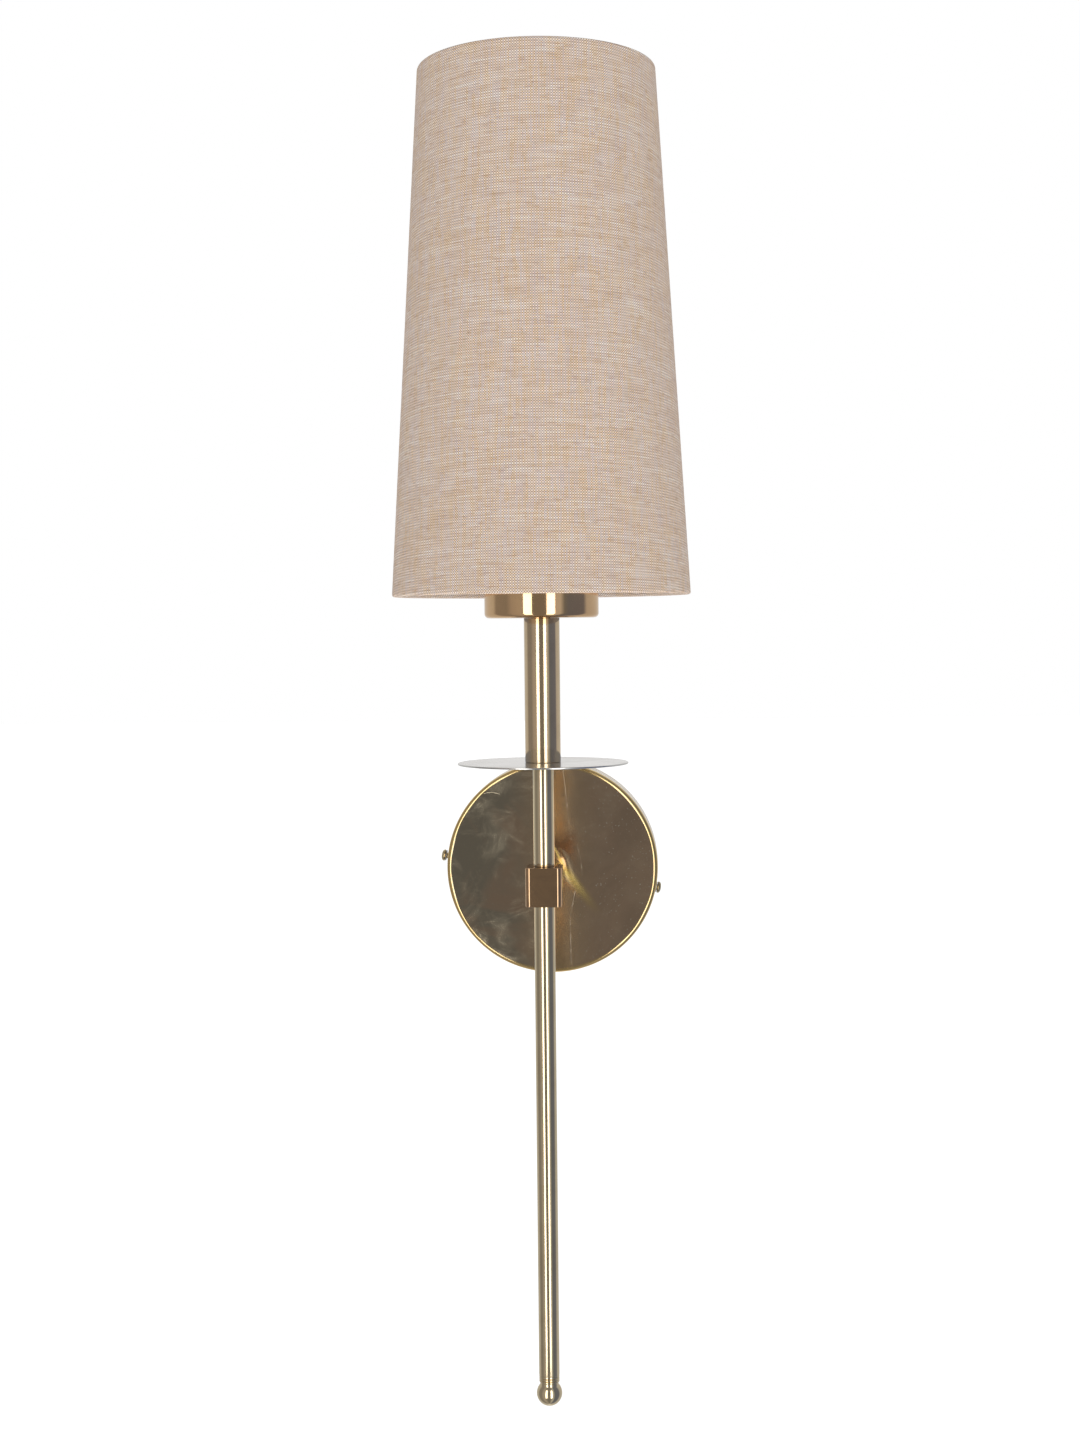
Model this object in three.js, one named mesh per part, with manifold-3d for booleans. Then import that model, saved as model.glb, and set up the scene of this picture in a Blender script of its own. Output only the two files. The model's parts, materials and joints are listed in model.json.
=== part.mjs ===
// A wall light: a round canopy on a wall bracket, a short arm, a square knuckle block, a long slim
// stem with a ball finial and a drip disc, and a tapered fabric shade over an E27 lampholder.
//
// Units are millimetres. +Z is up, +Y points into the wall and the front faces -Y. The origin is the
// centre of the bracket's back face, on the wall, level with the arm's axis.

import * as THREE from 'three';
import { mergeVertices } from 'three/addons/utils/BufferGeometryUtils.js';
import Module from 'manifold-3d';

// ---------------------------------------------------------------- driving dimensions

const INCH = 25.4;
const GAP = 0.3; // clearance left between pieces that touch
const STEM_Y = -3.5 * INCH; // the stem's axis, in front of the wall
const CANOPY_TURN = THREE.MathUtils.degToRad(8.8); // the canopy and bracket hang turned by this

const canopy = { radius: 2 * INCH, depth: 22, sheet: 1, edge: 2, hole: 4.3 };
const bracket = { halfLength: 48.4, width: 18, sheet: 1.5, tabDepth: 16, bend: 2 };
const wallSlot = { length: 16, width: 5, offset: 27 };
const bracketHole = { radius: 1.7, earthOffset: 11 }; // tapped M4 for the earth, M3 for the sides
const sideScrew = { y: -11, z: -3, shank: 1.5, length: 9, head: 2.8, headHeight: 1.9, washer: 2.6 };
const sideScrewSlack = 1.2; // the left screw stands this far off its seat

const rod = { radius: 4.65, bore: 4.2, chamfer: 0.25 };
const stud = { radius: 4, bore: 3 };
const block = { width: 16.2, height: 17.5, corner: 2.2, bore: 4.3 };
const engagement = 4.2; // how far a stud screws into the block
const lowerStudDrop = 9; // how far the lower stud reaches below the block
const finial = { ball: 5.8, neck: 4.6, centre: -230.6, groove: 0.45, pitch: 1.1, spigot: 7 };

const disc = { radius: 1.5 * INCH, z: 54.6, sheet: 0.8 };
const sleeve = { radius: INCH * 5 / 16, bore: 6.95 };
const cup = { radius: INCH, z: 119.7, height: 17.3, sheet: 0.8, edge: 2 };
const hexNut = { acrossFlats: 13, height: 4 };
const lockWasher = { root: 6.4, tip: 7.6, sheet: 0.7, teeth: 12 };
const lug = { ring: 7, sheet: 0.8, tongue: 9, width: 5, barrel: 2.1, barrelBore: 1.4, barrelLength: 7 };

const holder = { base: 125.1, seat: 151, top: 172, thread: 19, flange: 24, lip: 3, inner: 16.2 };
const holderCap = { entry: 7, neck: 4, shoulder: 12, body: 17, wall: 2, floor: 5.4, top: 144 };
const insert = { radius: 14.6, bottom: 138.3, top: 143, terminal: 7, well: 1.6 };
const contact = { sheet: 0.4, width: 5, half: 4.5, rise: 1.3 };
const shell = { radius: 14, wall: 0.4, bottom: 143.4, top: 166 };
const slipRing = { inner: 19.5, outer: 25, sheet: 0.8 };
const shadeNut = { bore: 19.4, flange: 25, lip: 2, body: 22, height: 7 };

const bulb = { tip: 145.4, top: 243, base: 13.1, baseTop: 25.9, glass: 17.5, neck: 12.3, wall: 0.7 };
const filament = { stem: 9, strip: 0.8, length: 32, spread: 4.6, lean: 0.1, count: 4 };

const shade = { bottom: 129.5, top: 360, bottomRadius: 66.3, topRadius: 52.3 };
const fabric = 0.6;
const liner = { offset: 0.85, sheet: 0.5 };
const ringWire = 1.3; // radius of the shade's wire rings
const fitter = { inner: 20, outer: 26, sheet: 1.4, spoke: 1.2, spokes: 3 };

const wire = { radius: 1.1, spread: 1.4 };
const terminal = { x: 26, y: 13, z: 17, centre: [0, -11.5, 26], pitch: 8 };

const ROUND = 40; // facets round a large part
const HOLDER_ROUND = 32; // facets round the lampholder's parts
const SMALL_ROUND = 20; // facets round a slim part

// ---------------------------------------------------------------- geometry helpers

const wasm = await Module();
wasm.setup();

// Six times the signed volume of an indexed geometry, negative when its faces point inwards.
function signedVolume(geometry) {
  const position = geometry.getAttribute('position');
  const index = geometry.index.array;
  const a = new THREE.Vector3();
  const b = new THREE.Vector3();
  const c = new THREE.Vector3();
  let sum = 0;
  for (let i = 0; i < index.length; i += 3) {
    a.fromBufferAttribute(position, index[i]);
    b.fromBufferAttribute(position, index[i + 1]);
    c.fromBufferAttribute(position, index[i + 2]);
    sum += a.dot(b.cross(c));
  }
  return sum;
}

// The same shape with shared vertices merged, slivers dropped and every face pointing out.
function closed(geometry) {
  const loose = geometry.index ? geometry.toNonIndexed() : geometry;
  const bare = new THREE.BufferGeometry();
  bare.setAttribute('position', loose.getAttribute('position'));
  const merged = mergeVertices(bare, 1e-4);
  const index = merged.index.array;
  const kept = [];
  for (let i = 0; i < index.length; i += 3) {
    const corners = new Set([index[i], index[i + 1], index[i + 2]]);
    if (corners.size === 3) kept.push(...corners);
  }
  merged.setIndex(kept);
  if (signedVolume(merged) < 0) merged.setIndex(kept.reverse());
  return merged;
}

function solidOf(geometry) {
  const shape = closed(geometry);
  return new wasm.Manifold(new wasm.Mesh({
    numProp: 3,
    vertProperties: new Float32Array(shape.getAttribute('position').array),
    triVerts: new Uint32Array(shape.index.array),
  }));
}

function geometryOf(solid) {
  const { vertProperties, triVerts } = solid.getMesh();
  const geometry = new THREE.BufferGeometry();
  geometry.setAttribute('position', new THREE.BufferAttribute(vertProperties, 3));
  geometry.setIndex(new THREE.BufferAttribute(triVerts, 1));
  return geometry;
}

function cut(body, ...tools) {
  return geometryOf(tools.reduce((left, tool) => left.subtract(solidOf(tool)), solidOf(body)));
}

function join(...bodies) {
  return geometryOf(bodies.map(solidOf).reduce((all, one) => all.add(one)));
}

// A profile of [radius, height] points turned about the Y axis. A profile that doesn't start and
// end on the axis closes on itself.
function turnAboutY(profile, facets = SMALL_ROUND) {
  const points = profile.map(([radius, height]) => new THREE.Vector2(radius, height));
  const onAxis = profile[0][0] === 0 && profile[profile.length - 1][0] === 0;
  if (!onAxis) points.push(points[0].clone());
  return closed(new THREE.LatheGeometry(points, facets));
}

function turnAboutZ(profile, facets = SMALL_ROUND) {
  return turnAboutY(profile, facets).rotateX(Math.PI / 2);
}

function turnAboutX(profile, facets = SMALL_ROUND) {
  return turnAboutY(profile, facets).rotateZ(-Math.PI / 2);
}

// The profile of a pipe between two heights, with its outer ends chamfered.
function pipeProfile(outer, inner, low, high, chamfer = 0) {
  if (chamfer === 0) return [[inner, low], [outer, low], [outer, high], [inner, high]];
  return [
    [inner, low], [outer - chamfer, low], [outer, low + chamfer],
    [outer, high - chamfer], [outer - chamfer, high], [inner, high],
  ];
}

// Points of an arc from one angle to another, in degrees.
function arc(x, y, radius, from, to, steps = 4) {
  return Array.from({ length: steps + 1 }, (_, i) => {
    const angle = THREE.MathUtils.degToRad(from + (to - from) * i / steps);
    return [x + radius * Math.cos(angle), y + radius * Math.sin(angle)];
  });
}

function box(x, y, z, centre = [0, 0, 0]) {
  return new THREE.BoxGeometry(x, y, z).translate(...centre);
}

// A rod of a given radius along a smooth path of [x, y, z] points.
function alongPath(points, radius, steps, sides = 8) {
  const path = new THREE.CatmullRomCurve3(points.map((p) => new THREE.Vector3(...p)));
  const section = new THREE.Shape(
    arc(0, 0, radius, 0, 360, sides).slice(0, sides).map((p) => new THREE.Vector2(...p)));
  return closed(new THREE.ExtrudeGeometry(section, { steps, extrudePath: path, bevelEnabled: false }));
}

function prism(outline, depth, hole) {
  const shape = new THREE.Shape(outline.map((p) => new THREE.Vector2(...p)));
  if (hole) shape.holes.push(new THREE.Path().absarc(0, 0, hole, 0, Math.PI * 2, true));
  return closed(new THREE.ExtrudeGeometry(shape, { depth, bevelEnabled: false, curveSegments: 12 }));
}

function hexagon(acrossFlats) {
  return arc(0, 0, acrossFlats / Math.sqrt(3), 0, 360, 6).slice(0, 6);
}

// ---------------------------------------------------------------- materials

function metal(color, roughness) {
  return new THREE.MeshStandardMaterial({ color, roughness, metalness: 1 });
}

function dull(color, roughness = 0.6) {
  return new THREE.MeshStandardMaterial({ color, roughness, metalness: 0 });
}

const material = {
  antiqueBrass: metal(0xa88a55, 0.2),
  brightBrass: metal(0xc9a35c, 0.15),
  discSteel: metal(0xc8c6c0, 0.25),
  zinc: metal(0xb4b6b8, 0.4),
  linen: dull(0xcdb79f, 0.95),
  liner: dull(0xeee8dc, 0.5),
  phenolic: dull(0x1c1a19, 0.4),
  ceramic: dull(0xe8e4da, 0.35),
  nylon: dull(0xe4e2dc, 0.5),
  liveBrown: dull(0x6b3a1e, 0.5),
  neutralBlue: dull(0x2b5fa8, 0.5),
  earthGreen: dull(0x5f9b34, 0.5),
  glass: new THREE.MeshStandardMaterial({
    color: 0xf4f6f6, roughness: 0.03, metalness: 0, transparent: true, opacity: 0.3,
  }),
  filament: dull(0xe9c46a, 0.6),
};

// ---------------------------------------------------------------- wall side

const SIDES = { left: -1, right: 1 };

// A strap with its ends bent forward into tabs, slotted for the wall's screws.
function wallBracket() {
  const { halfLength, width, sheet, tabDepth, bend } = bracket;
  const inner = bend - sheet;
  const outline = [
    [-halfLength, -tabDepth], [-halfLength + sheet, -tabDepth],
    ...arc(-halfLength + bend, -bend, inner, 180, 90, 3),
    ...arc(halfLength - bend, -bend, inner, 90, 0, 3),
    [halfLength - sheet, -tabDepth], [halfLength, -tabDepth],
    ...arc(halfLength - bend, -bend, bend, 0, 90, 3),
    ...arc(-halfLength + bend, -bend, bend, 90, 180, 3),
  ];
  const strap = prism(outline, width).translate(0, 0, -width / 2);
  const threadHole = sideBore(bracketHole.radius);
  const slots = [-1, 1].map((side) => slotCutter().translate(side * wallSlot.offset, 0, 0));
  const earthHoles = [-1, 1].map((side) => new THREE
    .CylinderGeometry(bracketHole.radius, bracketHole.radius, 4 * sheet, 12)
    .translate(side * bracketHole.earthOffset, 0, 0));
  return cut(strap, threadHole, ...slots, ...earthHoles);
}

function slotCutter() {
  const { length, width } = wallSlot;
  const reach = (length - width) / 2;
  const depth = 4 * bracket.sheet;
  const outline = [
    ...arc(reach, 0, width / 2, -90, 90, 6),
    ...arc(-reach, 0, width / 2, 90, 270, 6),
  ];
  return prism(outline, depth).rotateX(Math.PI / 2).translate(0, depth / 2, 0);
}

// A cutter along the axis that both side screws share.
function sideBore(radius) {
  return new THREE.CylinderGeometry(radius, radius, 2.4 * canopy.radius, 16)
    .rotateZ(Math.PI / 2)
    .translate(0, sideScrew.y, sideScrew.z);
}

// A slotted dome head on a plain shank, pointing outwards along +X from the canopy's rim.
function sideScrewBody() {
  const { shank, length, head, headHeight } = sideScrew;
  const foot = 0.6;
  const dome = [
    [head * 0.86, foot], [head, foot + 0.45], [head * 0.92, foot + headHeight * 0.55],
    [head * 0.6, foot + headHeight * 0.88], [0, foot + headHeight],
  ];
  const body = turnAboutX([[0, foot - length], [shank, foot - length], [shank, foot], ...dome], 20);
  return cut(body, box(1.2, 10, 0.7, [foot + headHeight, 0, 0]));
}

function sideWasher() {
  const { washer, shank } = sideScrew;
  return turnAboutX(pipeProfile(washer, shank + 0.2, 0.1, 0.4), 20);
}

// ---------------------------------------------------------------- canopy and arm

// A spun dish, open to the wall, with a notch on each side that slides over a side screw.
function canopyDish() {
  const { radius, depth, sheet, edge, hole } = canopy;
  const dish = turnAboutY([
    [hole, -depth],
    ...arc(radius - edge, -depth + edge, edge, -90, 0),
    [radius, 0], [radius - sheet, 0],
    ...arc(radius - edge, -depth + edge, edge - sheet, 0, -90, 2),
    [hole, -depth + sheet],
  ], ROUND);
  const notch = sideScrew.shank + GAP;
  const open = 2; // how far the slit's cutter runs past the rim
  const middle = (sideScrew.y + open) / 2;
  const slit = box(2.4 * radius, open - sideScrew.y, 2 * notch, [0, middle, sideScrew.z]);
  return cut(dish, slit, sideBore(notch));
}

const armFront = STEM_Y + block.width / 2 + GAP;
const armStudBack = -11;
const washerY = -canopy.depth + canopy.sheet + GAP;
const lugY = washerY + lockWasher.sheet + GAP;
const nutY = lugY + lug.sheet + GAP;

function armTube() {
  return turnAboutY(pipeProfile(rod.radius, rod.bore, armFront, -canopy.depth - GAP, rod.chamfer));
}

function armStud() {
  return turnAboutY(pipeProfile(stud.radius, stud.bore, armFront - GAP - engagement, armStudBack));
}

// A lock washer with external teeth.
function armLockWasher() {
  const { root, tip, sheet, teeth } = lockWasher;
  const outline = Array.from({ length: teeth * 2 }, (_, i) => {
    const angle = Math.PI * i / teeth;
    const radius = i % 2 ? root : tip;
    return [radius * Math.cos(angle), radius * Math.sin(angle)];
  });
  return prism(outline, sheet, rod.bore).rotateX(-Math.PI / 2).translate(0, washerY, 0);
}

const lugBarrel = 13; // where the lug's barrel starts, out from the arm's axis
const lugWireY = lugY + 1.9;

// A ring lug with a crimp barrel for the earth wire.
function earthLug() {
  const ring = turnAboutY(pipeProfile(lug.ring, rod.bore, lugY, lugY + lug.sheet));
  const start = lug.ring - 1.5; // the tongue starts inside the ring
  const tongue = box(lug.tongue, lug.sheet, lug.width, [start + lug.tongue / 2, lugY + lug.sheet / 2, 0]);
  const barrelEnd = lugBarrel + lug.barrelLength;
  const barrel = turnAboutX(pipeProfile(lug.barrel, lug.barrelBore, lugBarrel, barrelEnd), 12)
    .translate(0, lugWireY, 0);
  return join(tongue, ring, barrel);
}

function nutAboutZ() {
  return prism(hexagon(hexNut.acrossFlats), hexNut.height, rod.bore);
}

// A square block with rounded uprights, drilled from top to bottom and from the back.
function knuckleBlock() {
  const half = block.width / 2;
  const inset = half - block.corner;
  const outline = [
    ...arc(inset, inset, block.corner, 0, 90), ...arc(-inset, inset, block.corner, 90, 180),
    ...arc(-inset, -inset, block.corner, 180, 270), ...arc(inset, -inset, block.corner, 270, 360),
  ];
  const body = prism(outline, block.height).translate(0, 0, -block.height / 2);
  const upright = new THREE.CylinderGeometry(block.bore, block.bore, 30, SMALL_ROUND)
    .rotateX(Math.PI / 2);
  const level = new THREE.CylinderGeometry(block.bore, block.bore, 20, SMALL_ROUND)
    .translate(0, 10, 0);
  return cut(body, upright, level);
}

// ---------------------------------------------------------------- stem

const blockTop = block.height / 2;
const neckTop = finial.centre + finial.ball + 2.6;

function lowerRod() {
  return turnAboutZ(pipeProfile(rod.radius, rod.bore, neckTop + GAP, -blockTop - GAP, rod.chamfer));
}

function lowerStud() {
  return turnAboutZ(pipeProfile(stud.radius, stud.bore, -blockTop - lowerStudDrop, -blockTop + engagement));
}

// A ball under a neck with three grooves, and a spigot that screws into the rod.
function ballFinial() {
  const { ball, neck, centre, groove, pitch, spigot } = finial;
  const meet = THREE.MathUtils.radToDeg(Math.acos((neck - groove) / ball));
  const ridges = [0, 1, 2].flatMap((i) => {
    const low = neckTop - (3 - i) * pitch;
    return [[neck - groove, low], [neck, low + 0.35], [neck, low + 0.75]];
  });
  return turnAboutZ([
    [0, centre - ball], ...arc(0, centre, ball, -80, meet, 9), ...ridges,
    [neck, neckTop], [stud.radius, neckTop], [stud.radius, neckTop + spigot], [0, neckTop + spigot],
  ]);
}

function upperRod() {
  return turnAboutZ(pipeProfile(rod.radius, rod.bore, blockTop + GAP, disc.z - GAP, rod.chamfer));
}

function dripDisc() {
  return turnAboutZ(pipeProfile(disc.radius, rod.bore, disc.z, disc.z + disc.sheet), ROUND);
}

function upperSleeve() {
  const low = disc.z + disc.sheet + GAP;
  return turnAboutZ(pipeProfile(sleeve.radius, sleeve.bore, low, cup.z - GAP, rod.chamfer));
}

// The hollow threaded rod that runs up the stem and clamps the whole stack.
function stemStud() {
  const top = holder.base + holderCap.floor + 0.5;
  return turnAboutZ(pipeProfile(stud.radius, stud.bore, blockTop - engagement, top));
}

function fitterCup() {
  const { radius, z, height, sheet, edge } = cup;
  return turnAboutZ([
    [rod.bore, z],
    ...arc(radius - edge, z + edge, edge, -90, 0),
    [radius, z + height], [radius - sheet, z + height],
    ...arc(radius - edge, z + edge, edge - sheet, 0, -90, 2),
    [rod.bore, z + sheet],
  ], ROUND);
}

// ---------------------------------------------------------------- lampholder

function lampholderCap() {
  const { entry, neck, shoulder, body, wall, floor, top } = holderCap;
  const low = holder.base;
  return turnAboutZ([
    [rod.bore, low], [entry, low], [entry, low + neck], [body, low + shoulder], [body, top],
    [body - wall, top], [body - wall, insert.bottom - GAP], [entry - 1, low + floor],
    [rod.bore, low + floor],
  ], HOLDER_ROUND);
}

function lampholderInsert() {
  const { radius, bottom, top } = insert;
  const body = turnAboutZ([[0, bottom], [radius, bottom], [radius, top], [0, top]], HOLDER_ROUND);
  const wells = [-1, 1].map((side) => new THREE.CylinderGeometry(insert.well, insert.well, 20, 12)
    .rotateX(Math.PI / 2)
    .translate(side * insert.terminal, 0, top));
  return cut(body, ...wells);
}

function screwShell() {
  const { radius, wall, bottom, top } = shell;
  return turnAboutZ(pipeProfile(radius, radius - wall, bottom, top), HOLDER_ROUND);
}

// A springy tongue that rises to the bulb's tip.
function centreContact() {
  const { sheet, width, half, rise } = contact;
  const low = insert.top + GAP;
  const fold = half - 3 * sheet;
  const outline = [
    [-half, low], [half, low], [half, low + sheet], [-fold, low + sheet],
    [fold, low + rise], [fold, low + rise + sheet], [-half, low + 1.5 * sheet],
  ];
  return prism(outline, width).rotateX(Math.PI / 2).translate(0, width / 2, 0);
}

// The outer sleeve: a flange that the shade sits on, and a threaded skirt above it.
function lampholderSkirt() {
  const { seat, top, thread, flange, inner, lip } = holder;
  const low = holderCap.top + GAP;
  return turnAboutZ([
    [inner, low], [thread, low], [thread, seat - lip], [flange, seat - lip], [flange, seat],
    [thread, seat], [thread, top - 1], [thread - 1, top], [inner, top],
  ], HOLDER_ROUND);
}

const slipRingZ = holder.seat + fitter.sheet + 2 * GAP;

// A plain ring between the shade's fitter and the nut, so that either can turn alone.
function shadeSlipRing() {
  const { inner, outer, sheet } = slipRing;
  return turnAboutZ(pipeProfile(outer, inner, slipRingZ, slipRingZ + sheet), HOLDER_ROUND);
}

function shadeRingNut() {
  const { bore, flange, lip, body, height } = shadeNut;
  const low = slipRingZ + slipRing.sheet + GAP;
  return turnAboutZ([
    [bore, low], [flange, low], [flange, low + lip], [body, low + lip], [body, low + height],
    [bore, low + height],
  ], HOLDER_ROUND);
}

// ---------------------------------------------------------------- bulb

const glassLow = bulb.tip + bulb.baseTop;

function bulbGlass() {
  const rise = bulb.top - glassLow;
  const outline = new THREE.SplineCurve([
    [bulb.neck, 0], [13.6, 0.1], [bulb.glass, 0.36], [15.3, 0.6], [9.6, 0.8], [4.4, 0.93], [0.6, 1],
  ].map(([radius, share]) => new THREE.Vector2(radius, glassLow + rise * share)));
  const outer = outline.getPoints(10).map((p) => [p.x, p.y]);
  const inner = outer.map(([radius, z]) => [Math.max(radius - bulb.wall, 0), z - 0.5]);
  inner[0][1] = glassLow;
  return turnAboutZ([[0, bulb.top], ...outer.reverse(), ...inner, [0, bulb.top - bulb.wall]]);
}

function bulbScrewBase() {
  const low = bulb.tip + 3.4;
  return turnAboutZ(pipeProfile(bulb.base, bulb.base - 0.5, low, glassLow - GAP));
}

function bulbInsulator() {
  const low = bulb.tip + 1.2;
  return turnAboutZ([[0, low], [5.5, low], [11, low + 1.9], [0, low + 1.9]]);
}

function bulbContact() {
  return turnAboutZ([[0, bulb.tip], [3.4, bulb.tip], [4.5, bulb.tip + 0.9], [0, bulb.tip + 0.9]], 16);
}

// The glass stem and the four light strips that stand round it.
function bulbFilaments() {
  const { stem, strip, length, spread, lean, count } = filament;
  const low = glassLow + 1;
  const top = low + length + 4;
  const post = turnAboutZ([[0, low], [stem, low], [3, low + stem], [1.5, top], [0, top]], 16);
  const strips = Array.from({ length: count }, (_, i) => new THREE
    .CylinderGeometry(strip, strip, length, 5)
    .rotateX(Math.PI / 2)
    .rotateY(lean)
    .translate(spread, 0, low + length / 2 + 4)
    .rotateZ((i + 0.5) * 2 * Math.PI / count));
  const ends = [low + 8, top - 2.5].flatMap((z) => [
    new THREE.TorusGeometry(spread - 0.8, 0.6, 5, 12).translate(0, 0, z),
    box(2 * spread - 1.2, 0.7, 0.7, [0, 0, z]),
    box(0.7, 2 * spread - 1.2, 0.7, [0, 0, z]),
  ]);
  return join(post, ...strips, ...ends);
}

// ---------------------------------------------------------------- shade

// The shade's outer radius at a height.
function shadeRadius(z) {
  const share = (z - shade.bottom) / (shade.top - shade.bottom);
  return THREE.MathUtils.lerp(shade.bottomRadius, shade.topRadius, share);
}

// A tapered skin that lies a given depth inside the shade's outer surface.
function shadeSkin(depth, thickness, low, high) {
  const outer = (z) => shadeRadius(z) - depth;
  return turnAboutZ([
    [outer(low) - thickness, low], [outer(low), low], [outer(high), high], [outer(high) - thickness, high],
  ], ROUND);
}

function shadeFabric() {
  return shadeSkin(0, fabric, shade.bottom, shade.top);
}

function shadeLiner() {
  return shadeSkin(liner.offset, liner.sheet, shade.bottom + 0.5, shade.top - 0.5);
}

// The centre radius of a wire ring that lies just inside the liner.
function wireRingRadius(z) {
  return shadeRadius(z) - liner.offset - liner.sheet - GAP - ringWire;
}

function wireRing(z) {
  return new THREE.TorusGeometry(wireRingRadius(z), ringWire, 6, ROUND).translate(0, 0, z);
}

const bottomRingZ = shade.bottom + 2;
const fitterZ = holder.seat + GAP;

// The bottom wire ring, the flat ring that sits on the lampholder, and the spokes between them.
function shadeFitter() {
  const { inner, outer, sheet } = fitter;
  const seat = turnAboutZ(pipeProfile(outer, inner, fitterZ, fitterZ + sheet), HOLDER_ROUND);
  const middle = fitterZ + sheet / 2;
  const rim = wireRingRadius(bottomRingZ);
  const spokes = Array.from({ length: fitter.spokes }, (_, i) => {
    const route = [
      [outer - 0.4, 0, middle], [outer + 4, 0, middle],
      [(outer + rim) / 2 + 4, 0, (middle + bottomRingZ) / 2 + 3], [rim, 0, bottomRingZ],
    ];
    return alongPath(route, fitter.spoke, 8, 6).rotateZ(Math.PI / 2 + i * 2 * Math.PI / fitter.spokes);
  });
  return join(seat, wireRing(bottomRingZ), ...spokes);
}

// ---------------------------------------------------------------- wiring

// A supply wire from the lampholder down the stem, through the block and arm, to the terminal block.
function supplyWire(side, pole) {
  const lane = side * wire.spread;
  const well = side * insert.terminal;
  const end = pole * terminal.pitch;
  const [, terminalY, terminalZ] = terminal.centre;
  const entry = terminalZ - terminal.z / 2 - GAP;
  return alongPath([
    [well, STEM_Y, insert.top - 2.5], [well, STEM_Y, insert.bottom - 1],
    [lane * 1.6, STEM_Y, holder.base + 9], [lane, STEM_Y, holder.base + 4],
    [lane, STEM_Y, 100], [lane, STEM_Y, 70], [lane, STEM_Y, 40], [lane, STEM_Y, 20],
    [lane, STEM_Y, 9], [lane, STEM_Y, 5], [lane, STEM_Y + 1.4, 1.4], [lane, STEM_Y + 5, 0],
    [lane, STEM_Y + 9, 0], [lane, STEM_Y + 22, 0], [lane, STEM_Y + 45, 0], [lane, -20, 0],
    [lane, -13, 0], [lane, -9, 0.4], [lane + end * 0.1, -6, 3.5], [(lane + end) / 2, -7.5, 9],
    [end, terminalY, entry - 3.6], [end, terminalY, entry],
  ], wire.radius, 56);
}

// The earth wire from its lug to the last pole of the terminal block.
function earthWire() {
  const [, terminalY, terminalZ] = terminal.centre;
  const entry = terminalZ - terminal.z / 2 - GAP;
  const end = terminal.pitch;
  return alongPath([
    [lugBarrel + 3, lugWireY, 0], [lugBarrel + 7, lugWireY, 0], [23, -15, 2], [21, -10.5, 7], [14, -9, 9.5],
    [9.5, -10.5, 11.2], [end, terminalY, entry - 2.4], [end, terminalY, entry],
  ], wire.radius, 24);
}

const terminalScrew = { radius: 1.7, height: 1.6, rise: 4.4 };

// A connector strip with a screw well above each end of its three poles.
function terminalBlock() {
  const { x, y, z, centre, pitch } = terminal;
  const body = box(x, y, z);
  const grooves = [-1, 1].map((side) => box(1.4, 4, z + 2, [side * pitch / 2, y / 2, 0]));
  const wells = [-1, 0, 1].flatMap((pole) => [-1, 1].map((end) => new THREE
    .CylinderGeometry(terminalScrew.radius + 0.3, terminalScrew.radius + 0.3, 5, 10)
    .translate(pole * pitch, y / 2, end * terminalScrew.rise)));
  return cut(body, ...grooves, ...wells).translate(...centre);
}

// A slotted clamp screw at the bottom of a terminal well.
function clampScrew(pole, end) {
  const { radius, height, rise } = terminalScrew;
  const [x, y, z] = terminal.centre;
  const back = y + terminal.y / 2 - 2.5 + GAP;
  const body = turnAboutY([[0, back], [radius, back], [radius, back + height], [0, back + height]], 10);
  return cut(body, box(5, 0.8, 0.6, [0, back + height, 0]))
    .translate(x + pole * terminal.pitch, 0, z + end * rise);
}

// ---------------------------------------------------------------- assembly

function piece(name, geometry, finish, parent) {
  const mesh = new THREE.Mesh(geometry, finish);
  mesh.name = name;
  parent.add(mesh);
  return mesh;
}

const lamp = new THREE.Group();
const turned = new THREE.Group();
turned.rotation.y = CANOPY_TURN;
const stem = new THREE.Group();
stem.position.y = STEM_Y;
lamp.add(turned, stem);

piece('wall_bracket', wallBracket(), material.zinc, turned);
piece('canopy', canopyDish(), material.antiqueBrass, turned);
for (const [side, sign] of Object.entries(SIDES)) {
  const seat = new THREE.Group();
  seat.position.set(sign * (canopy.radius + (sign < 0 ? sideScrewSlack : 0)), sideScrew.y, sideScrew.z);
  seat.rotation.z = sign < 0 ? Math.PI : 0;
  turned.add(seat);
  piece(`side_screw_${side}`, sideScrewBody(), material.antiqueBrass, seat);
  piece(`side_washer_${side}`, sideWasher(), material.zinc, seat);
}

piece('arm_tube', armTube(), material.antiqueBrass, lamp);
piece('arm_stud', armStud(), material.zinc, lamp);
piece('arm_lock_washer', armLockWasher(), material.zinc, lamp);
piece('earth_lug', earthLug(), material.zinc, lamp);
piece('arm_nut', nutAboutZ().rotateX(-Math.PI / 2), material.zinc, lamp).position.y = nutY;

piece('knuckle_block', knuckleBlock(), material.antiqueBrass, stem);
piece('lower_rod', lowerRod(), material.antiqueBrass, stem);
piece('lower_stud', lowerStud(), material.zinc, stem);
piece('ball_finial', ballFinial(), material.antiqueBrass, stem);
piece('upper_rod', upperRod(), material.antiqueBrass, stem);
piece('drip_disc', dripDisc(), material.discSteel, stem);
piece('upper_sleeve', upperSleeve(), material.antiqueBrass, stem);
piece('stem_stud', stemStud(), material.zinc, stem);
piece('fitter_cup', fitterCup(), material.brightBrass, stem);
piece('stem_nut', nutAboutZ(), material.zinc, stem).position.z = cup.z + cup.sheet + GAP;

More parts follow.
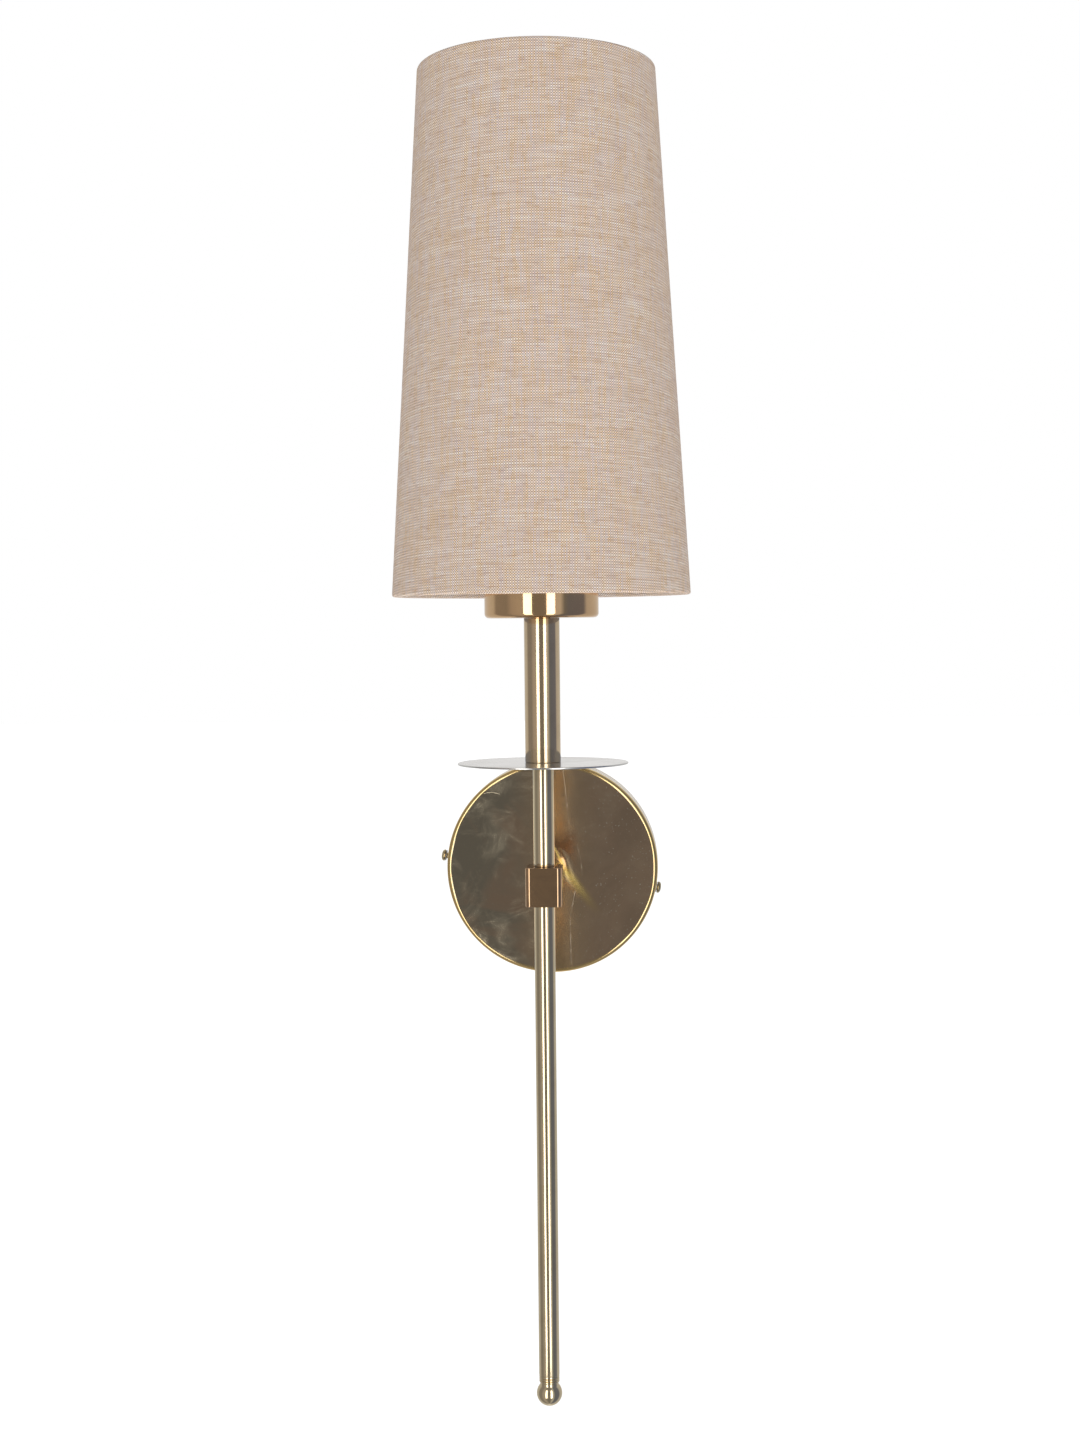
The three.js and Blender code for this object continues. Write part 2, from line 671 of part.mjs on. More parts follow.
piece('lampholder_cap', lampholderCap(), material.phenolic, stem);
piece('lampholder_insert', lampholderInsert(), material.ceramic, stem);
piece('lampholder_screw_shell', screwShell(), material.brightBrass, stem);
piece('lampholder_centre_contact', centreContact(), material.brightBrass, stem);
piece('lampholder_skirt', lampholderSkirt(), material.phenolic, stem);
piece('shade_slip_ring', shadeSlipRing(), material.nylon, stem);
piece('shade_ring_nut', shadeRingNut(), material.phenolic, stem);

piece('bulb_glass', bulbGlass(), material.glass, stem);
piece('bulb_filaments', bulbFilaments(), material.filament, stem);
piece('bulb_screw_base', bulbScrewBase(), material.zinc, stem);
piece('bulb_insulator', bulbInsulator(), material.phenolic, stem);
piece('bulb_contact', bulbContact(), material.zinc, stem);

piece('shade_fabric', shadeFabric(), material.linen, stem);
piece('shade_liner', shadeLiner(), material.liner, stem);
piece('shade_top_ring', wireRing(shade.top - 2), material.zinc, stem);
piece('shade_fitter', shadeFitter(), material.zinc, stem);

piece('wire_live', supplyWire(-1, -1), material.liveBrown, lamp);
piece('wire_neutral', supplyWire(1, 0), material.neutralBlue, lamp);
piece('wire_earth', earthWire(), material.earthGreen, lamp);
piece('terminal_block', terminalBlock(), material.nylon, lamp);
for (const [pole, poleName] of [[-1, 'live'], [0, 'neutral'], [1, 'earth']]) {
  piece(`terminal_screw_${poleName}_in`, clampScrew(pole, 1), material.brightBrass, lamp);
  piece(`terminal_screw_${poleName}_out`, clampScrew(pole, -1), material.brightBrass, lamp);
}

export default lamp;
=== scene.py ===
"""The looks of a wall light: antique brass metalwork, a linen shade on its liner, an E27
lampholder with its bulb, and the wiring behind the canopy.

Lengths are in millimetres up to the point where a mesh is made. A mesh is in metres, in the frame
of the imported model: +Z is up, +Y points into the wall, and the light faces -Y.
"""

import json
from math import acos, atan2, ceil, cos, degrees, exp, hypot, pi, radians, sin, sqrt, tan

import bmesh
import bpy
from mathutils import Matrix, Vector

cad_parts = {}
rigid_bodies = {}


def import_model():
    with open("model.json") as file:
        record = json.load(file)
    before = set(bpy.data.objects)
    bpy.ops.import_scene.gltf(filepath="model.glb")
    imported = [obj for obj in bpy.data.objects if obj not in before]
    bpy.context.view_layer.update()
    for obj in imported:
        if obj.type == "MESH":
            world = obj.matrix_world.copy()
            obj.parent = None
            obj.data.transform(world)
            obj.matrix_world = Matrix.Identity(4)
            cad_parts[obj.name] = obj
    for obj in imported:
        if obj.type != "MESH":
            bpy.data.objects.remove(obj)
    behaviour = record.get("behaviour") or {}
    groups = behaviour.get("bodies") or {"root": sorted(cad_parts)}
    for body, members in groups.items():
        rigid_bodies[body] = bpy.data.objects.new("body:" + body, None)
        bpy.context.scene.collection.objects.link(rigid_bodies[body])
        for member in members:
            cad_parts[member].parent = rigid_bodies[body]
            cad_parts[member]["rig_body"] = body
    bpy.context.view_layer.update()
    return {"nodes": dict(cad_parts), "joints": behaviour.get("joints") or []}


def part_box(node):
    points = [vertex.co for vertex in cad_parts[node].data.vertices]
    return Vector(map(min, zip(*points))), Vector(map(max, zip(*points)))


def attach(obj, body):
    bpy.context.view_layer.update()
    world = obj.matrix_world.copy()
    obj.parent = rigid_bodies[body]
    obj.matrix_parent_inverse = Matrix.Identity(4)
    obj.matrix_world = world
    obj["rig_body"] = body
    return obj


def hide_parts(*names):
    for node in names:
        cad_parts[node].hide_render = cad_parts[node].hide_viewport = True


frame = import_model()

MM = 0.001
JOINT = {joint["name"]: joint for joint in frame["joints"]}


def span(node):
    """The lowest and highest corners of a CAD node, in millimetres."""
    low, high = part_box(node)
    return low / MM, high / MM


def heights(node):
    low, high = span(node)
    return low.z, high.z


def radius_of(node):
    low, high = span(node)
    return (high.x - low.x) / 2


# ---------------------------------------------------------------- driving dimensions

STEM = Vector((0, sum(corner.y for corner in span("upper_rod")) / 2, 0))  # the stem's axis
OUTWARD = JOINT["screw_right_travel"]["axis"]
CANOPY_TURN = atan2(-OUTWARD[2], OUTWARD[0])  # the canopy and bracket hang turned by this

CANOPY = 50.8  # radius of the canopy
SCREW_LINE = Vector((0, -11, -3))  # a point on the side screws' axis, before the canopy's turn
LEFT_SLACK = 1.2  # how far the left side screw stands off its seat
PIPE_BORE = 4.2  # bore of the tubes and nuts over the hollow threaded rods
STUD_HOLE = 4.3  # hole that a hollow threaded rod passes through
STUD_BORE = 3
SHADE_SEAT = 151.0  # height of the flange that the shade sits on
POLE = 8.0  # from one pole of the terminal block to the next
TERMINAL = Vector((0, -11.5, 26))  # the terminal block's centre
TERMINAL_SIZE = Vector((26, 13, 17))
CLAMP = 4.4  # from the terminal block's middle to a clamp screw
CORE = 1.1  # radius of a wire
LANE = 1.4  # from the stem's axis to each supply wire
WELL = 7.0  # from the stem's axis to each terminal of the lampholder

# the pitch of each thread
STUD_THREAD = 1.0
SCREW_THREAD = 0.5
BULB_THREAD = 3.63
SKIRT_THREAD = 2.6

# the shade
CROWN = 52.3  # radius at the top
CLOTH = 0.42  # thickness of the linen
LINER = 0.35
WEAVE = 0.57  # from one thread to the next
HEM = 8
SEAM = 8
WIRE = 1.3  # radius of a rim wire
WIRE_DEPTH = 2.93  # from the cloth's outer face to a rim wire's centre
ROLL = 1.79  # from a rim wire's centre to the middle of the cloth that is turned round it
RIM_EDGE = 0.8  # the cloth's turn at the outer edge of a rim, over the liner's edge

SEAT = 0.22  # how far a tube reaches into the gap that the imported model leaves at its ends

# how many columns of faces go round a piece
ROUND = 144
SLIM = 72
TINY = 40


# ---------------------------------------------------------------- mesh helpers


def mesh_piece(name, points, faces, uvs=None, sharp=38, solid=True):
    """An object made of points in millimetres. The faces of a solid one are turned outwards."""
    mesh = bpy.data.meshes.new(name)
    mesh.from_pydata([tuple(Vector(p) * MM) for p in points], [], faces)
    if uvs:
        layer = mesh.uv_layers.new(name="cut")
        for loop in mesh.loops:
            layer.data[loop.index].uv = uvs[loop.vertex_index]
    piece = bpy.data.objects.new(name, mesh)
    bpy.context.scene.collection.objects.link(piece)
    if solid:
        turn_out(mesh)
    shade(mesh, sharp)
    return piece


def turn_out(mesh):
    work = bmesh.new()
    work.from_mesh(mesh)
    bmesh.ops.recalc_face_normals(work, faces=work.faces)
    work.to_mesh(mesh)
    work.free()


def shade(mesh, sharp=38):
    for polygon in mesh.polygons:
        polygon.use_smooth = True
    mesh.set_sharp_from_angle(angle=radians(sharp))


def skin(name, rings, looped=True, sharp=38):
    """A surface over a list of rings of points. A ring of one point is a pole."""
    points = []
    starts = []
    for ring in rings:
        starts.append(len(points))
        points.extend(ring)
    faces = []
    pairs = list(zip(range(len(rings)), range(1, len(rings))))
    if looped:
        pairs.append((len(rings) - 1, 0))
    for a, b in pairs:
        faces.extend(band(starts[a], len(rings[a]), starts[b], len(rings[b])))
    return mesh_piece(name, points, faces, sharp=sharp)


def band(a, count_a, b, count_b):
    """The faces between two rings that start at points a and b."""
    count = max(count_a, count_b)
    if count_a == 1 and count_b == 1:
        return []
    faces = []
    for i in range(count):
        j = (i + 1) % count
        if count_a == 1:
            faces.append((a, b + i, b + j))
        elif count_b == 1:
            faces.append((a + i, b, a + j))
        else:
            faces.append((a + i, b + i, b + j, a + j))
    return faces


def about(axis, angle, radius, height):
    """A point at a radius and a height about an axis through the origin."""
    across, up = radius * cos(angle), radius * sin(angle)
    return {
        "X": Vector((height, across, up)),
        "Y": Vector((across, height, up)),
        "Z": Vector((across, up, height)),
    }[axis]


def revolve(name, profile, axis="Z", centre=(0, 0, 0), columns=SLIM, relief=None, sharp=38):
    """A profile of (radius, height) turned about an axis. Unless it starts and ends on the axis,
    it closes on itself. relief gives the changed radius and height at each angle."""
    centre = Vector(centre)
    rings = []
    for radius, height in profile:
        if radius < 1e-6:
            rings.append([centre + about(axis, 0, 0, height)])
            continue
        ring = []
        for i in range(columns):
            angle = 2 * pi * i / columns
            r, h = relief(angle, radius, height) if relief else (radius, height)
            ring.append(centre + about(axis, angle, r, h))
        rings.append(ring)
    looped = profile[0][0] > 1e-6 or profile[-1][0] > 1e-6
    return skin(name, rings, looped, sharp)


def on_stem(name, profile, **settings):
    """A profile turned about the stem."""
    return revolve(name, profile, centre=STEM, **settings)


def rounded(corners, steps=4):
    """A closed profile with its corners rounded: each corner is (radius, height, fillet)."""
    profile = []
    count = len(corners)
    for i, corner in enumerate(corners):
        here = Vector(corner[:2])
        fillet = corner[2] if len(corner) > 2 else 0
        if not fillet:
            profile.append(tuple(here))
            continue
        before = Vector(corners[i - 1][:2]) - here
        after = Vector(corners[(i + 1) % count][:2]) - here
        profile.extend(fillet_arc(here, before.normalized(), after.normalized(), fillet, steps))
    return profile


def fillet_arc(corner, before, after, fillet, steps):
    """Points of the arc that touches both sides of a corner."""
    half = acos(max(-1, min(1, before.dot(after)))) / 2
    reach = fillet / tan(half)
    middle = corner + (before + after).normalized() * fillet / sin(half)
    start = corner + before * reach - middle
    finish = corner + after * reach - middle
    turn = start.angle_signed(finish)
    points = []
    for i in range(steps + 1):
        spoke = start.copy()
        spoke.rotate(Matrix.Rotation(-turn * i / steps, 2))
        points.append(tuple(middle + spoke))
    return points


def dense(profile, step, closed=True):
    """The same profile with extra points, no further apart than a step."""
    result = []
    pairs = list(zip(profile, profile[1:] + profile[:1]))
    if not closed:
        pairs.pop()
    for (r0, h0), (r1, h1) in pairs:
        count = max(1, ceil(hypot(r1 - r0, h1 - h0) / step))
        result.extend(
            (r0 + (r1 - r0) * i / count, h0 + (h1 - h0) * i / count) for i in range(count)
        )
    if not closed:
        result.append(profile[-1])
    return result


def pipe(low, high, outer, bore, edge=0.25):
    return rounded(
        [(bore, low, edge / 2), (outer, low, edge), (outer, high, edge), (bore, high, edge / 2)]
    )


def threaded(low, high, outer, bore, pitch, per_turn=6):
    """A pipe's profile, with rings close enough together to carry a thread."""
    count = ceil((high - low) / pitch * per_turn)
    outside = [(outer, low + (high - low) * i / count) for i in range(count + 1)]
    return [(bore, low)] + outside + [(bore, high)]


def helix(outer, low, high, pitch, depth):
    """A relief that cuts a thread into whatever lies at the outer radius."""

    def relief(angle, radius, height):
        if radius < outer - 1e-6:
            return radius, height
        phase = (height / pitch - angle / (2 * pi)) % 1
        tooth = abs(2 * phase - 1)
        runout = min(1, (height - low) / pitch, (high - height) / pitch)
        lead = depth * 0.9 * (1 - max(0, runout))
        return radius - lead - depth * tooth * max(0, runout), height

    return relief


def prism(name, outline, low, high, axis, centre=(0, 0, 0), edge=0.0, sharp=38):
    """An outline drawn across an axis and raised along it, with its two rims rounded."""
    centre = Vector(centre)

    def at(x, y, h):
        return centre + {"X": Vector((h, x, y)), "Y": Vector((x, h, y)), "Z": Vector((x, y, h))}[axis]

    levels = [(0, low), (0, high)]
    if edge:
        levels = [(edge, low), (edge * 0.3, low + edge * 0.3), (0, low + edge)]
        levels += [(0, high - edge), (edge * 0.3, high - edge * 0.3), (edge, high)]
    points = []
    for inset, height in levels:
        points.extend(at(x, y, height) for x, y in shrink(outline, inset))
    count = len(outline)
    faces = [tuple(range(count)), tuple(range(len(points) - count, len(points)))]
    for level in range(len(levels) - 1):
        faces.extend(band(level * count, count, (level + 1) * count, count))
    return mesh_piece(name, points, faces, sharp=sharp)


def shrink(outline, inset):
    """The outline moved inwards by an inset, each point along the bisector of its corner."""
    if not inset:
        return outline
    area = sum(a[0] * b[1] - a[1] * b[0] for a, b in zip(outline, outline[1:] + outline[:1]))
    side = 1 if area > 0 else -1
    moved = []
    for i, point in enumerate(outline):
        here = Vector(point)
        before = (here - Vector(outline[i - 1])).normalized()
        after = (Vector(outline[(i + 1) % len(outline)]) - here).normalized()
        normal = Vector((-(before + after).y, (before + after).x)).normalized() * side
        cosine = max(0.3, normal.dot(Vector((-before.y, before.x)) * side))
        moved.append(tuple(here + normal * inset / cosine))
    return moved


def arc(x, y, radius, start, finish, steps=8):
    """Points of an arc between two angles in degrees, counted from +X towards +Y."""
    turn = [radians(start + (finish - start) * i / steps) for i in range(steps + 1)]
    return [(x + radius * cos(a), y + radius * sin(a)) for a in turn]


def block_outline(x, y, corner, steps=8):
    """A rectangle with rounded corners, centred on the origin."""
    a, b = x / 2 - corner, y / 2 - corner
    return (
        arc(a, b, corner, 0, 90, steps)
        + arc(-a, b, corner, 90, 180, steps)
        + arc(-a, -b, corner, 180, 270, steps)
        + arc(a, -b, corner, 270, 360, steps)
    )


def rectangle(low, high):
    """An outline from its lowest corner to its highest one."""
    (x0, y0), (x1, y1) = low, high
    return [(x0, y0), (x1, y0), (x1, y1), (x0, y1)]


def smooth(t):
    """A share that eases from 0 to 1, and is held there."""
    t = max(0.0, min(1.0, t))
    return t * t * (3 - 2 * t)


def smooth_path(points, per_span=6):
    """A smooth line through the points, each with its share of every span."""
    knots = [Vector(p) for p in points]
    knots = [2 * knots[0] - knots[1]] + knots + [2 * knots[-1] - knots[-2]]
    line = []
    for i in range(1, len(knots) - 2):
        line.extend(
            catmull_rom(*knots[i - 1 : i + 3], step / per_span) for step in range(per_span)
        )
    line.append(knots[-2])
    return line


def catmull_rom(a, b, c, d, share):
    """A point on the centripetal curve through b and c."""
    t0 = 0
    t1 = t0 + sqrt((b - a).length)
    t2 = t1 + sqrt((c - b).length)
    t3 = t2 + sqrt((d - c).length)
    t = t1 + (t2 - t1) * share
    a1 = a * ((t1 - t) / (t1 - t0)) + b * ((t - t0) / (t1 - t0))
    a2 = b * ((t2 - t) / (t2 - t1)) + c * ((t - t1) / (t2 - t1))
    a3 = c * ((t3 - t) / (t3 - t2)) + d * ((t - t2) / (t3 - t2))
    b1 = a1 * ((t2 - t) / (t2 - t0)) + a2 * ((t - t0) / (t2 - t0))
    b2 = a2 * ((t3 - t) / (t3 - t1)) + a3 * ((t - t1) / (t3 - t1))
    return b1 * ((t2 - t) / (t2 - t1)) + b2 * ((t - t1) / (t2 - t1))


def tube(name, line, radius, sides=16, closed=False, taper=None):
    """A round rod along a line of points. Its first UV goes round it and its second along it."""
    line = [Vector(p) for p in line]
    count = len(line)
    points, uvs, faces = [], [], []
    normal = None
    travelled = 0
    for i, here in enumerate(line):
        before = line[i - 1] if closed or i > 0 else here
        after = line[(i + 1) % count] if closed or i < count - 1 else here
        tangent = (after - before).normalized()
        if normal is None:
            normal = tangent.orthogonal().normalized()
        normal = (normal - tangent * normal.dot(tangent)).normalized()
        side = tangent.cross(normal)
        if i:
            travelled += (here - line[i - 1]).length
        r = radius * (taper(i / (count - 1)) if taper else 1)
        for k in range(sides):
            angle = 2 * pi * k / sides
            points.append(here + (normal * cos(angle) + side * sin(angle)) * r)
            uvs.append((abs(2 * k / sides - 1), travelled * MM))
    for i in range(count if closed else count - 1):
        faces.extend(band(i * sides, sides, (i + 1) % count * sides, sides))
    if not closed:
        faces.append(tuple(range(sides)))
        faces.append(tuple(range((count - 1) * sides, count * sides)))
    return mesh_piece(name, points, faces, uvs, sharp=60)


def merge(name, pieces, sharp=38):
    """One object from several, joined where they overlap."""
    first, *others = pieces
    for other in others:
        boolean(first, other, "UNION")
    first.name = name
    shade(first.data, sharp)
    return first


def cut(piece, *cutters, sharp=38):
    for cutter in cutters:
        boolean(piece, cutter, "DIFFERENCE")
    shade(piece.data, sharp)
    return piece


def boolean(piece, other, operation):
    modifier = piece.modifiers.new(operation, "BOOLEAN")
    modifier.object = other
    modifier.operation = operation
    modifier.solver = "EXACT"
    apply_modifiers(piece)
    bpy.data.objects.remove(other)


def apply_modifiers(piece):
    bpy.context.view_layer.update()
    evaluated = piece.evaluated_get(bpy.context.evaluated_depsgraph_get())
    mesh = bpy.data.meshes.new_from_object(evaluated)
    piece.modifiers.clear()
    piece.data = mesh


def moved(piece, matrix):
    piece.data.transform(matrix)
    return piece


def turned(piece):
    """Turns a piece with the canopy about the arm's axis."""
    return moved(piece, Matrix.Rotation(CANOPY_TURN, 4, "Y"))


def finish(piece, node, material):
    """The piece stands for a CAD node: it takes the node's body and a material, and hides the node."""
    piece.name = node + "_finished"
    piece.data.name = piece.name
    piece.data.materials.clear()
    piece.data.materials.append(material)
    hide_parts(node)
    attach(piece, frame["nodes"][node]["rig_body"])
    return piece


# ---------------------------------------------------------------- material helpers


class Nodes:
    """The nodes of a tree. Its calls take numbers or sockets, and return a socket."""

    def __init__(self, tree):
        self.tree = tree

    def set(self, node, **inputs):
        for name, value in inputs.items():
            self.feed(node.inputs[name.replace("_", " ")], value)
        return node

    def feed(self, socket, value):
        if isinstance(value, bpy.types.NodeSocket):
            self.tree.links.new(value, socket)
        else:
            socket.default_value = value

    def node(self, kind, settings=None, **inputs):
        node = self.tree.nodes.new("ShaderNode" + kind)
        for name, value in (settings or {}).items():
            setattr(node, name, value)
        return self.set(node, **inputs)

    def split(self, vector):
        return self.node("SeparateXYZ", Vector=vector).outputs

    def join(self, x, y, z=0.0):
        return self.node("CombineXYZ", X=x, Y=y, Z=z).outputs[0]

    def mapped(self, place, **inputs):
        return self.node("Mapping", Vector=place, **inputs).outputs[0]

    def math(self, operation, *values, clamp=False):
        node = self.node("Math", {"operation": operation, "use_clamp": clamp})
        for socket, value in zip(node.inputs, values):
            self.feed(socket, value)
        return node.outputs[0]

    def plus(self, first, second):
        return self.math("ADD", first, second)

    def minus(self, first, second):
        return self.math("SUBTRACT", first, second)

    def times(self, first, second):
        return self.math("MULTIPLY", first, second)

    def times_plus(self, value, factor, extra):
        return self.math("MULTIPLY_ADD", value, factor, extra)

    def length(self, x, y):
        return self.math("SQRT", self.plus(self.times(x, x), self.times(y, y)))

    def noise(self, place, scale, detail=2.0, roughness=0.5, distortion=0.0):
        inputs = {"Scale": scale, "Detail": detail, "Roughness": roughness, "Distortion": distortion}
        return self.node("TexNoise", Vector=place, **inputs).outputs[0]

    def spread(self, value, low, high, to_low=0.0, to_high=1.0, way="SMOOTHSTEP"):
        """Maps low..high to to_low..to_high, and holds it there. Its way is smooth or LINEAR."""
        node = self.node("MapRange", {"interpolation_type": way}, Value=value)
        self.set(node, From_Min=low, From_Max=high, To_Min=to_low, To_Max=to_high)
        return node.outputs[0]

    def blend(self, share, first, second, mode="MIX"):
        node = self.node("Mix", {"data_type": "RGBA", "blend_type": mode, "clamp_result": True})
        self.feed(node.inputs[0], share)
        for socket, colour in ((node.inputs[6], first), (node.inputs[7], second)):
            self.feed(socket, colour if isinstance(colour, bpy.types.NodeSocket) else (*colour, 1))
        return node.outputs[2]

    def choose(self, share, first, second):
        """A mix of two shaders."""
        node = self.node("MixShader")
        for socket, value in zip(node.inputs, (share, first, second)):
            self.feed(socket, value)
        return node.outputs[0]

    def bump(self, height, distance, strength=1.0):
        return self.node("Bump", Height=height, Distance=distance, Strength=strength).outputs[0]


class Graph(Nodes):
    """The nodes of a new material, round its shader."""

    def __init__(self, name, **constants):
        self.material = bpy.data.materials.new(name)
        self.material.use_nodes = True
        super().__init__(self.material.node_tree)
        self.shader = self.tree.nodes["Principled BSDF"]
        self.set(self.shader, **constants)

    def place(self, stretch=(1, 1, 1)):
        """Where a point is on the piece, in metres, each axis multiplied by its stretch."""
        return self.mapped(self.node("TexCoord").outputs["Object"], Scale=stretch)

    def cut(self):
        """Where a point is on the flat cloth, or round and along a rod."""
        return self.node("UVMap", {"uv_map": "cut"}).outputs[0]

    def done(self, colour, roughness, normal=None):
        self.set(self.shader, Base_Color=colour, Roughness=roughness)
        if normal is not None:
            self.set(self.shader, Normal=normal)
        return self.material


# ---------------------------------------------------------------- metals


def metal(name, tint, worn, gloss, haze=0.06, cloud=42, stretch=(1, 1, 1), scratch=0.02):
    """Metal with clouded polish, dull smears and fine lines along its stretch, and dark specks."""
    g = Graph(name, Metallic=1.0)
    place = g.place()
    clouds = g.noise(place, cloud, 5.0, 0.62, 0.6)
    smears = g.noise(g.place(stretch), 55, 3.0, 0.6)
    lines = g.noise(g.place(stretch), 900, 2.0)
    specks = g.noise(place, 1500, 1.0)
    base = g.blend(g.spread(clouds, 0.42, 0.66), tint, worn)
    base = g.blend(g.spread(specks, 0.73, 0.79, 0.0, 0.3), base, tuple(c * 0.45 for c in worn))
    dull = g.times(g.spread(smears, 0.45, 0.7), haze)
    rough = g.plus(g.spread(clouds, 0.4, 0.75, gloss, gloss + haze), dull)
    rough = g.plus(rough, g.spread(lines, 0.5, 0.8, 0.0, scratch))
    height = g.times_plus(lines, 0.2, g.times(smears, 0.5))
    return g.done(base, rough, g.bump(height, 0.00003, 0.3))


ALONG_Z = (1, 1, 0.02)
ALONG_Y = (1, 0.02, 1)
ROUND_Z = (0.05, 0.05, 1)

FACE_WARM = (0.66, 0.475, 0.325)
FACE_BROWN = (0.54, 0.395, 0.275)
FACE_OLIVE = (0.44, 0.385, 0.29)
# painted reflection: the warm golden glow of the stem mirrored round it
PAINTED_STEM_GLOW = (0.61, 0.45, 0.26)
FACE_WIPED = (0.92, 0.80, 0.58)
FACE_DUST = (1.0, 0.95, 0.8)
FACE_SCRATCH = (1.0, 0.85, 0.6)
# painted reflection: the light colour of the stem's glint
PAINTED_GLINT = (1.0, 0.90, 0.74)
FACE_EDGE = (0.84, 0.61, 0.27)
# painted reflection: the gold of the arm's streak and arc
PAINTED_ARM_GLINT = (0.76, 0.57, 0.19)

# Marks on the canopy's face, in metres to the right of its centre and above it.
EDGE_WEAR = (0.0482, 0.0496)  # the radii between which the colour has worn off the face's edge
SCRATCH_CENTRE, SCRATCH_RADIUS, SCRATCH_ANGLES = (-0.0292, 0.0262), 0.0103, (62, 112)
# painted reflection of the arm: a soft golden streak below it, down to the right
PAINTED_ARM_STREAK, PAINTED_STREAK_WIDTH = ((0.0052, 0.0006), (0.0240, -0.0245)), 0.0034
PAINTED_HOLE_ARC = [(0.0009, 0.0104), (0.0033, 0.0052), (0.0056, 0.0)]  # painted reflection of the arm: a golden arc by its hole
PAINTED_ARC_WIDTH = 0.0011
PAINTED_GLINT_PATHS = [  # painted reflection: three lengths of a faint light line right of the stem, the stem's glint
    [(0.0058, 0.0469), (0.0085, 0.0208), (0.0094, 0.0135)],
    [(0.0122, 0.0110), (0.0137, 0.0050), (0.0146, -0.0035)],
    [(0.0109, -0.0114), (0.0085, -0.0236), (0.0088, -0.0470)],
]
GLINT_WIDTH = 0.00042


def plate_brass():
    """The canopy's face: nearly a mirror, with cloudy wiping marks on its left, dust on its right,
    and a scratch. Painted reflections on it: a warm golden glow round the stem, faint light lines
    of the stem's glint to its right, and the arm's golden streak and arc below it."""
    g = Graph("antique_brass_plate", Metallic=1.0)
    place = g.place()
    x, _, z = g.split(place)
    slanted = g.mapped(place, Rotation=(0, radians(38), 0), Scale=(1, 1, 2.2))
    clouds = g.noise(place, 24, 5.0, 0.6, 0.8)
    fine = g.noise(slanted, 420, 3.0, 0.6)
    left = g.spread(x, 0.006, -0.026)
    # the band round the stem where its reflection is painted as a warmer golden tone
    centre = g.times(g.spread(x, -0.022, 0.0), g.spread(x, 0.026, 0.006))
    haze = wiping(g, place, slanted, left)
    scratch = hairline(g, x, z, SCRATCH_CENTRE, SCRATCH_RADIUS, SCRATCH_ANGLES)
    # the arm's reflection, painted as a golden streak and arc below it
    arm_reflection = painted_streak(g, x, z, *PAINTED_ARM_STREAK, PAINTED_STREAK_WIDTH)
    arm_reflection = scored_path(g, x, z, PAINTED_HOLE_ARC, PAINTED_ARC_WIDTH, arm_reflection)
    # painted reflection: the stem's glint, as faint light lines right of the stem
    lines = 0.0
    for path in PAINTED_GLINT_PATHS:
        lines = scored_path(g, x, z, path, GLINT_WIDTH, lines)
    lines = g.times(lines, g.spread(g.noise(place, 260, 3.0), 0.36, 0.62, 0.1, 0.5))
    base = g.blend(g.spread(clouds, 0.36, 0.66), FACE_WARM, FACE_BROWN)
    base = g.blend(g.times(left, g.spread(clouds, 0.60, 0.42)), base, FACE_OLIVE)
    # painted reflection: a warm golden glow round the stem
    base = g.blend(g.times(centre, 0.55), base, PAINTED_STEM_GLOW)
    base = g.blend(g.times(haze, 0.75), base, FACE_WIPED)
    base = g.blend(dusting(g, place, x), base, FACE_DUST)
    base = g.blend(scratch, base, FACE_SCRATCH)
    # painted reflection of the stem's glint
    base = g.blend(lines, base, PAINTED_GLINT)
    base = g.blend(g.spread(g.length(x, z), *EDGE_WEAR), base, FACE_EDGE)
    # painted reflection of the arm
    base = g.blend(arm_reflection, base, PAINTED_ARM_GLINT)
    rough = g.times_plus(haze, 0.14, g.spread(clouds, 0.3, 0.8, 0.07, 0.10))
    rough = g.plus(rough, g.spread(fine, 0.5, 0.8, 0.0, 0.02))
    for mark, dulls in ((centre, 0.07), (scratch, 0.3), (lines, 0.2), (arm_reflection, 0.12)):
        rough = g.times_plus(mark, dulls, rough)
    height = g.times_plus(fine, 0.05, clouds)
    return g.done(base, rough, g.bump(height, 0.00006, 0.5))


def wiping(g, place, slanted, left):
    """How much of the face's polish is wiped dull: in slanted feathers, mostly on the left."""
    wipes = g.noise(slanted, 27, 8.0, 0.68, 0.9)
    patches = g.noise(g.mapped(place, Location=(0.3, 0, 0.2)), 42, 2.0)
    smears = g.noise(place, 62, 6.0, 0.62, 0.7)
    feathers = g.times(g.spread(wipes, 0.47, 0.66), g.spread(patches, 0.42, 0.56))
    haze = g.times_plus(g.spread(smears, 0.47, 0.74), 0.8, feathers)
    return g.math("MULTIPLY", haze, g.times_plus(left, 0.72, 0.16), clamp=True)


def dusting(g, place, x):
    """Specks of dust, mostly on the right."""
    dust = g.spread(g.noise(place, 1300, 1.0), 0.72, 0.76)
    return g.times(dust, g.times_plus(g.spread(x, 0.004, 0.02), 0.7, 0.15))


def line_distances(g, x, z, start, end):
    """How far a point lies along and across the line from start to end, and that line's length."""
    run = Vector(end) - Vector(start)
    length = run.length
    dx, dz = g.minus(x, start[0]), g.minus(z, start[1])
    along = g.plus(g.times(dx, run.x / length), g.times(dz, run.y / length))
    across = g.plus(g.times(dx, -run.y / length), g.times(dz, run.x / length))
    return along, g.math("ABSOLUTE", across), length


def painted_streak(g, x, z, start, end, width):
    """A soft straight mark between two points, strongest near its start."""
    along, across, length = line_distances(g, x, z, start, end)
    inside = g.times(g.spread(along, -0.001, 0.003), g.spread(along, length, length * 0.2))
    return g.times(g.spread(across, width, 0.0), inside)


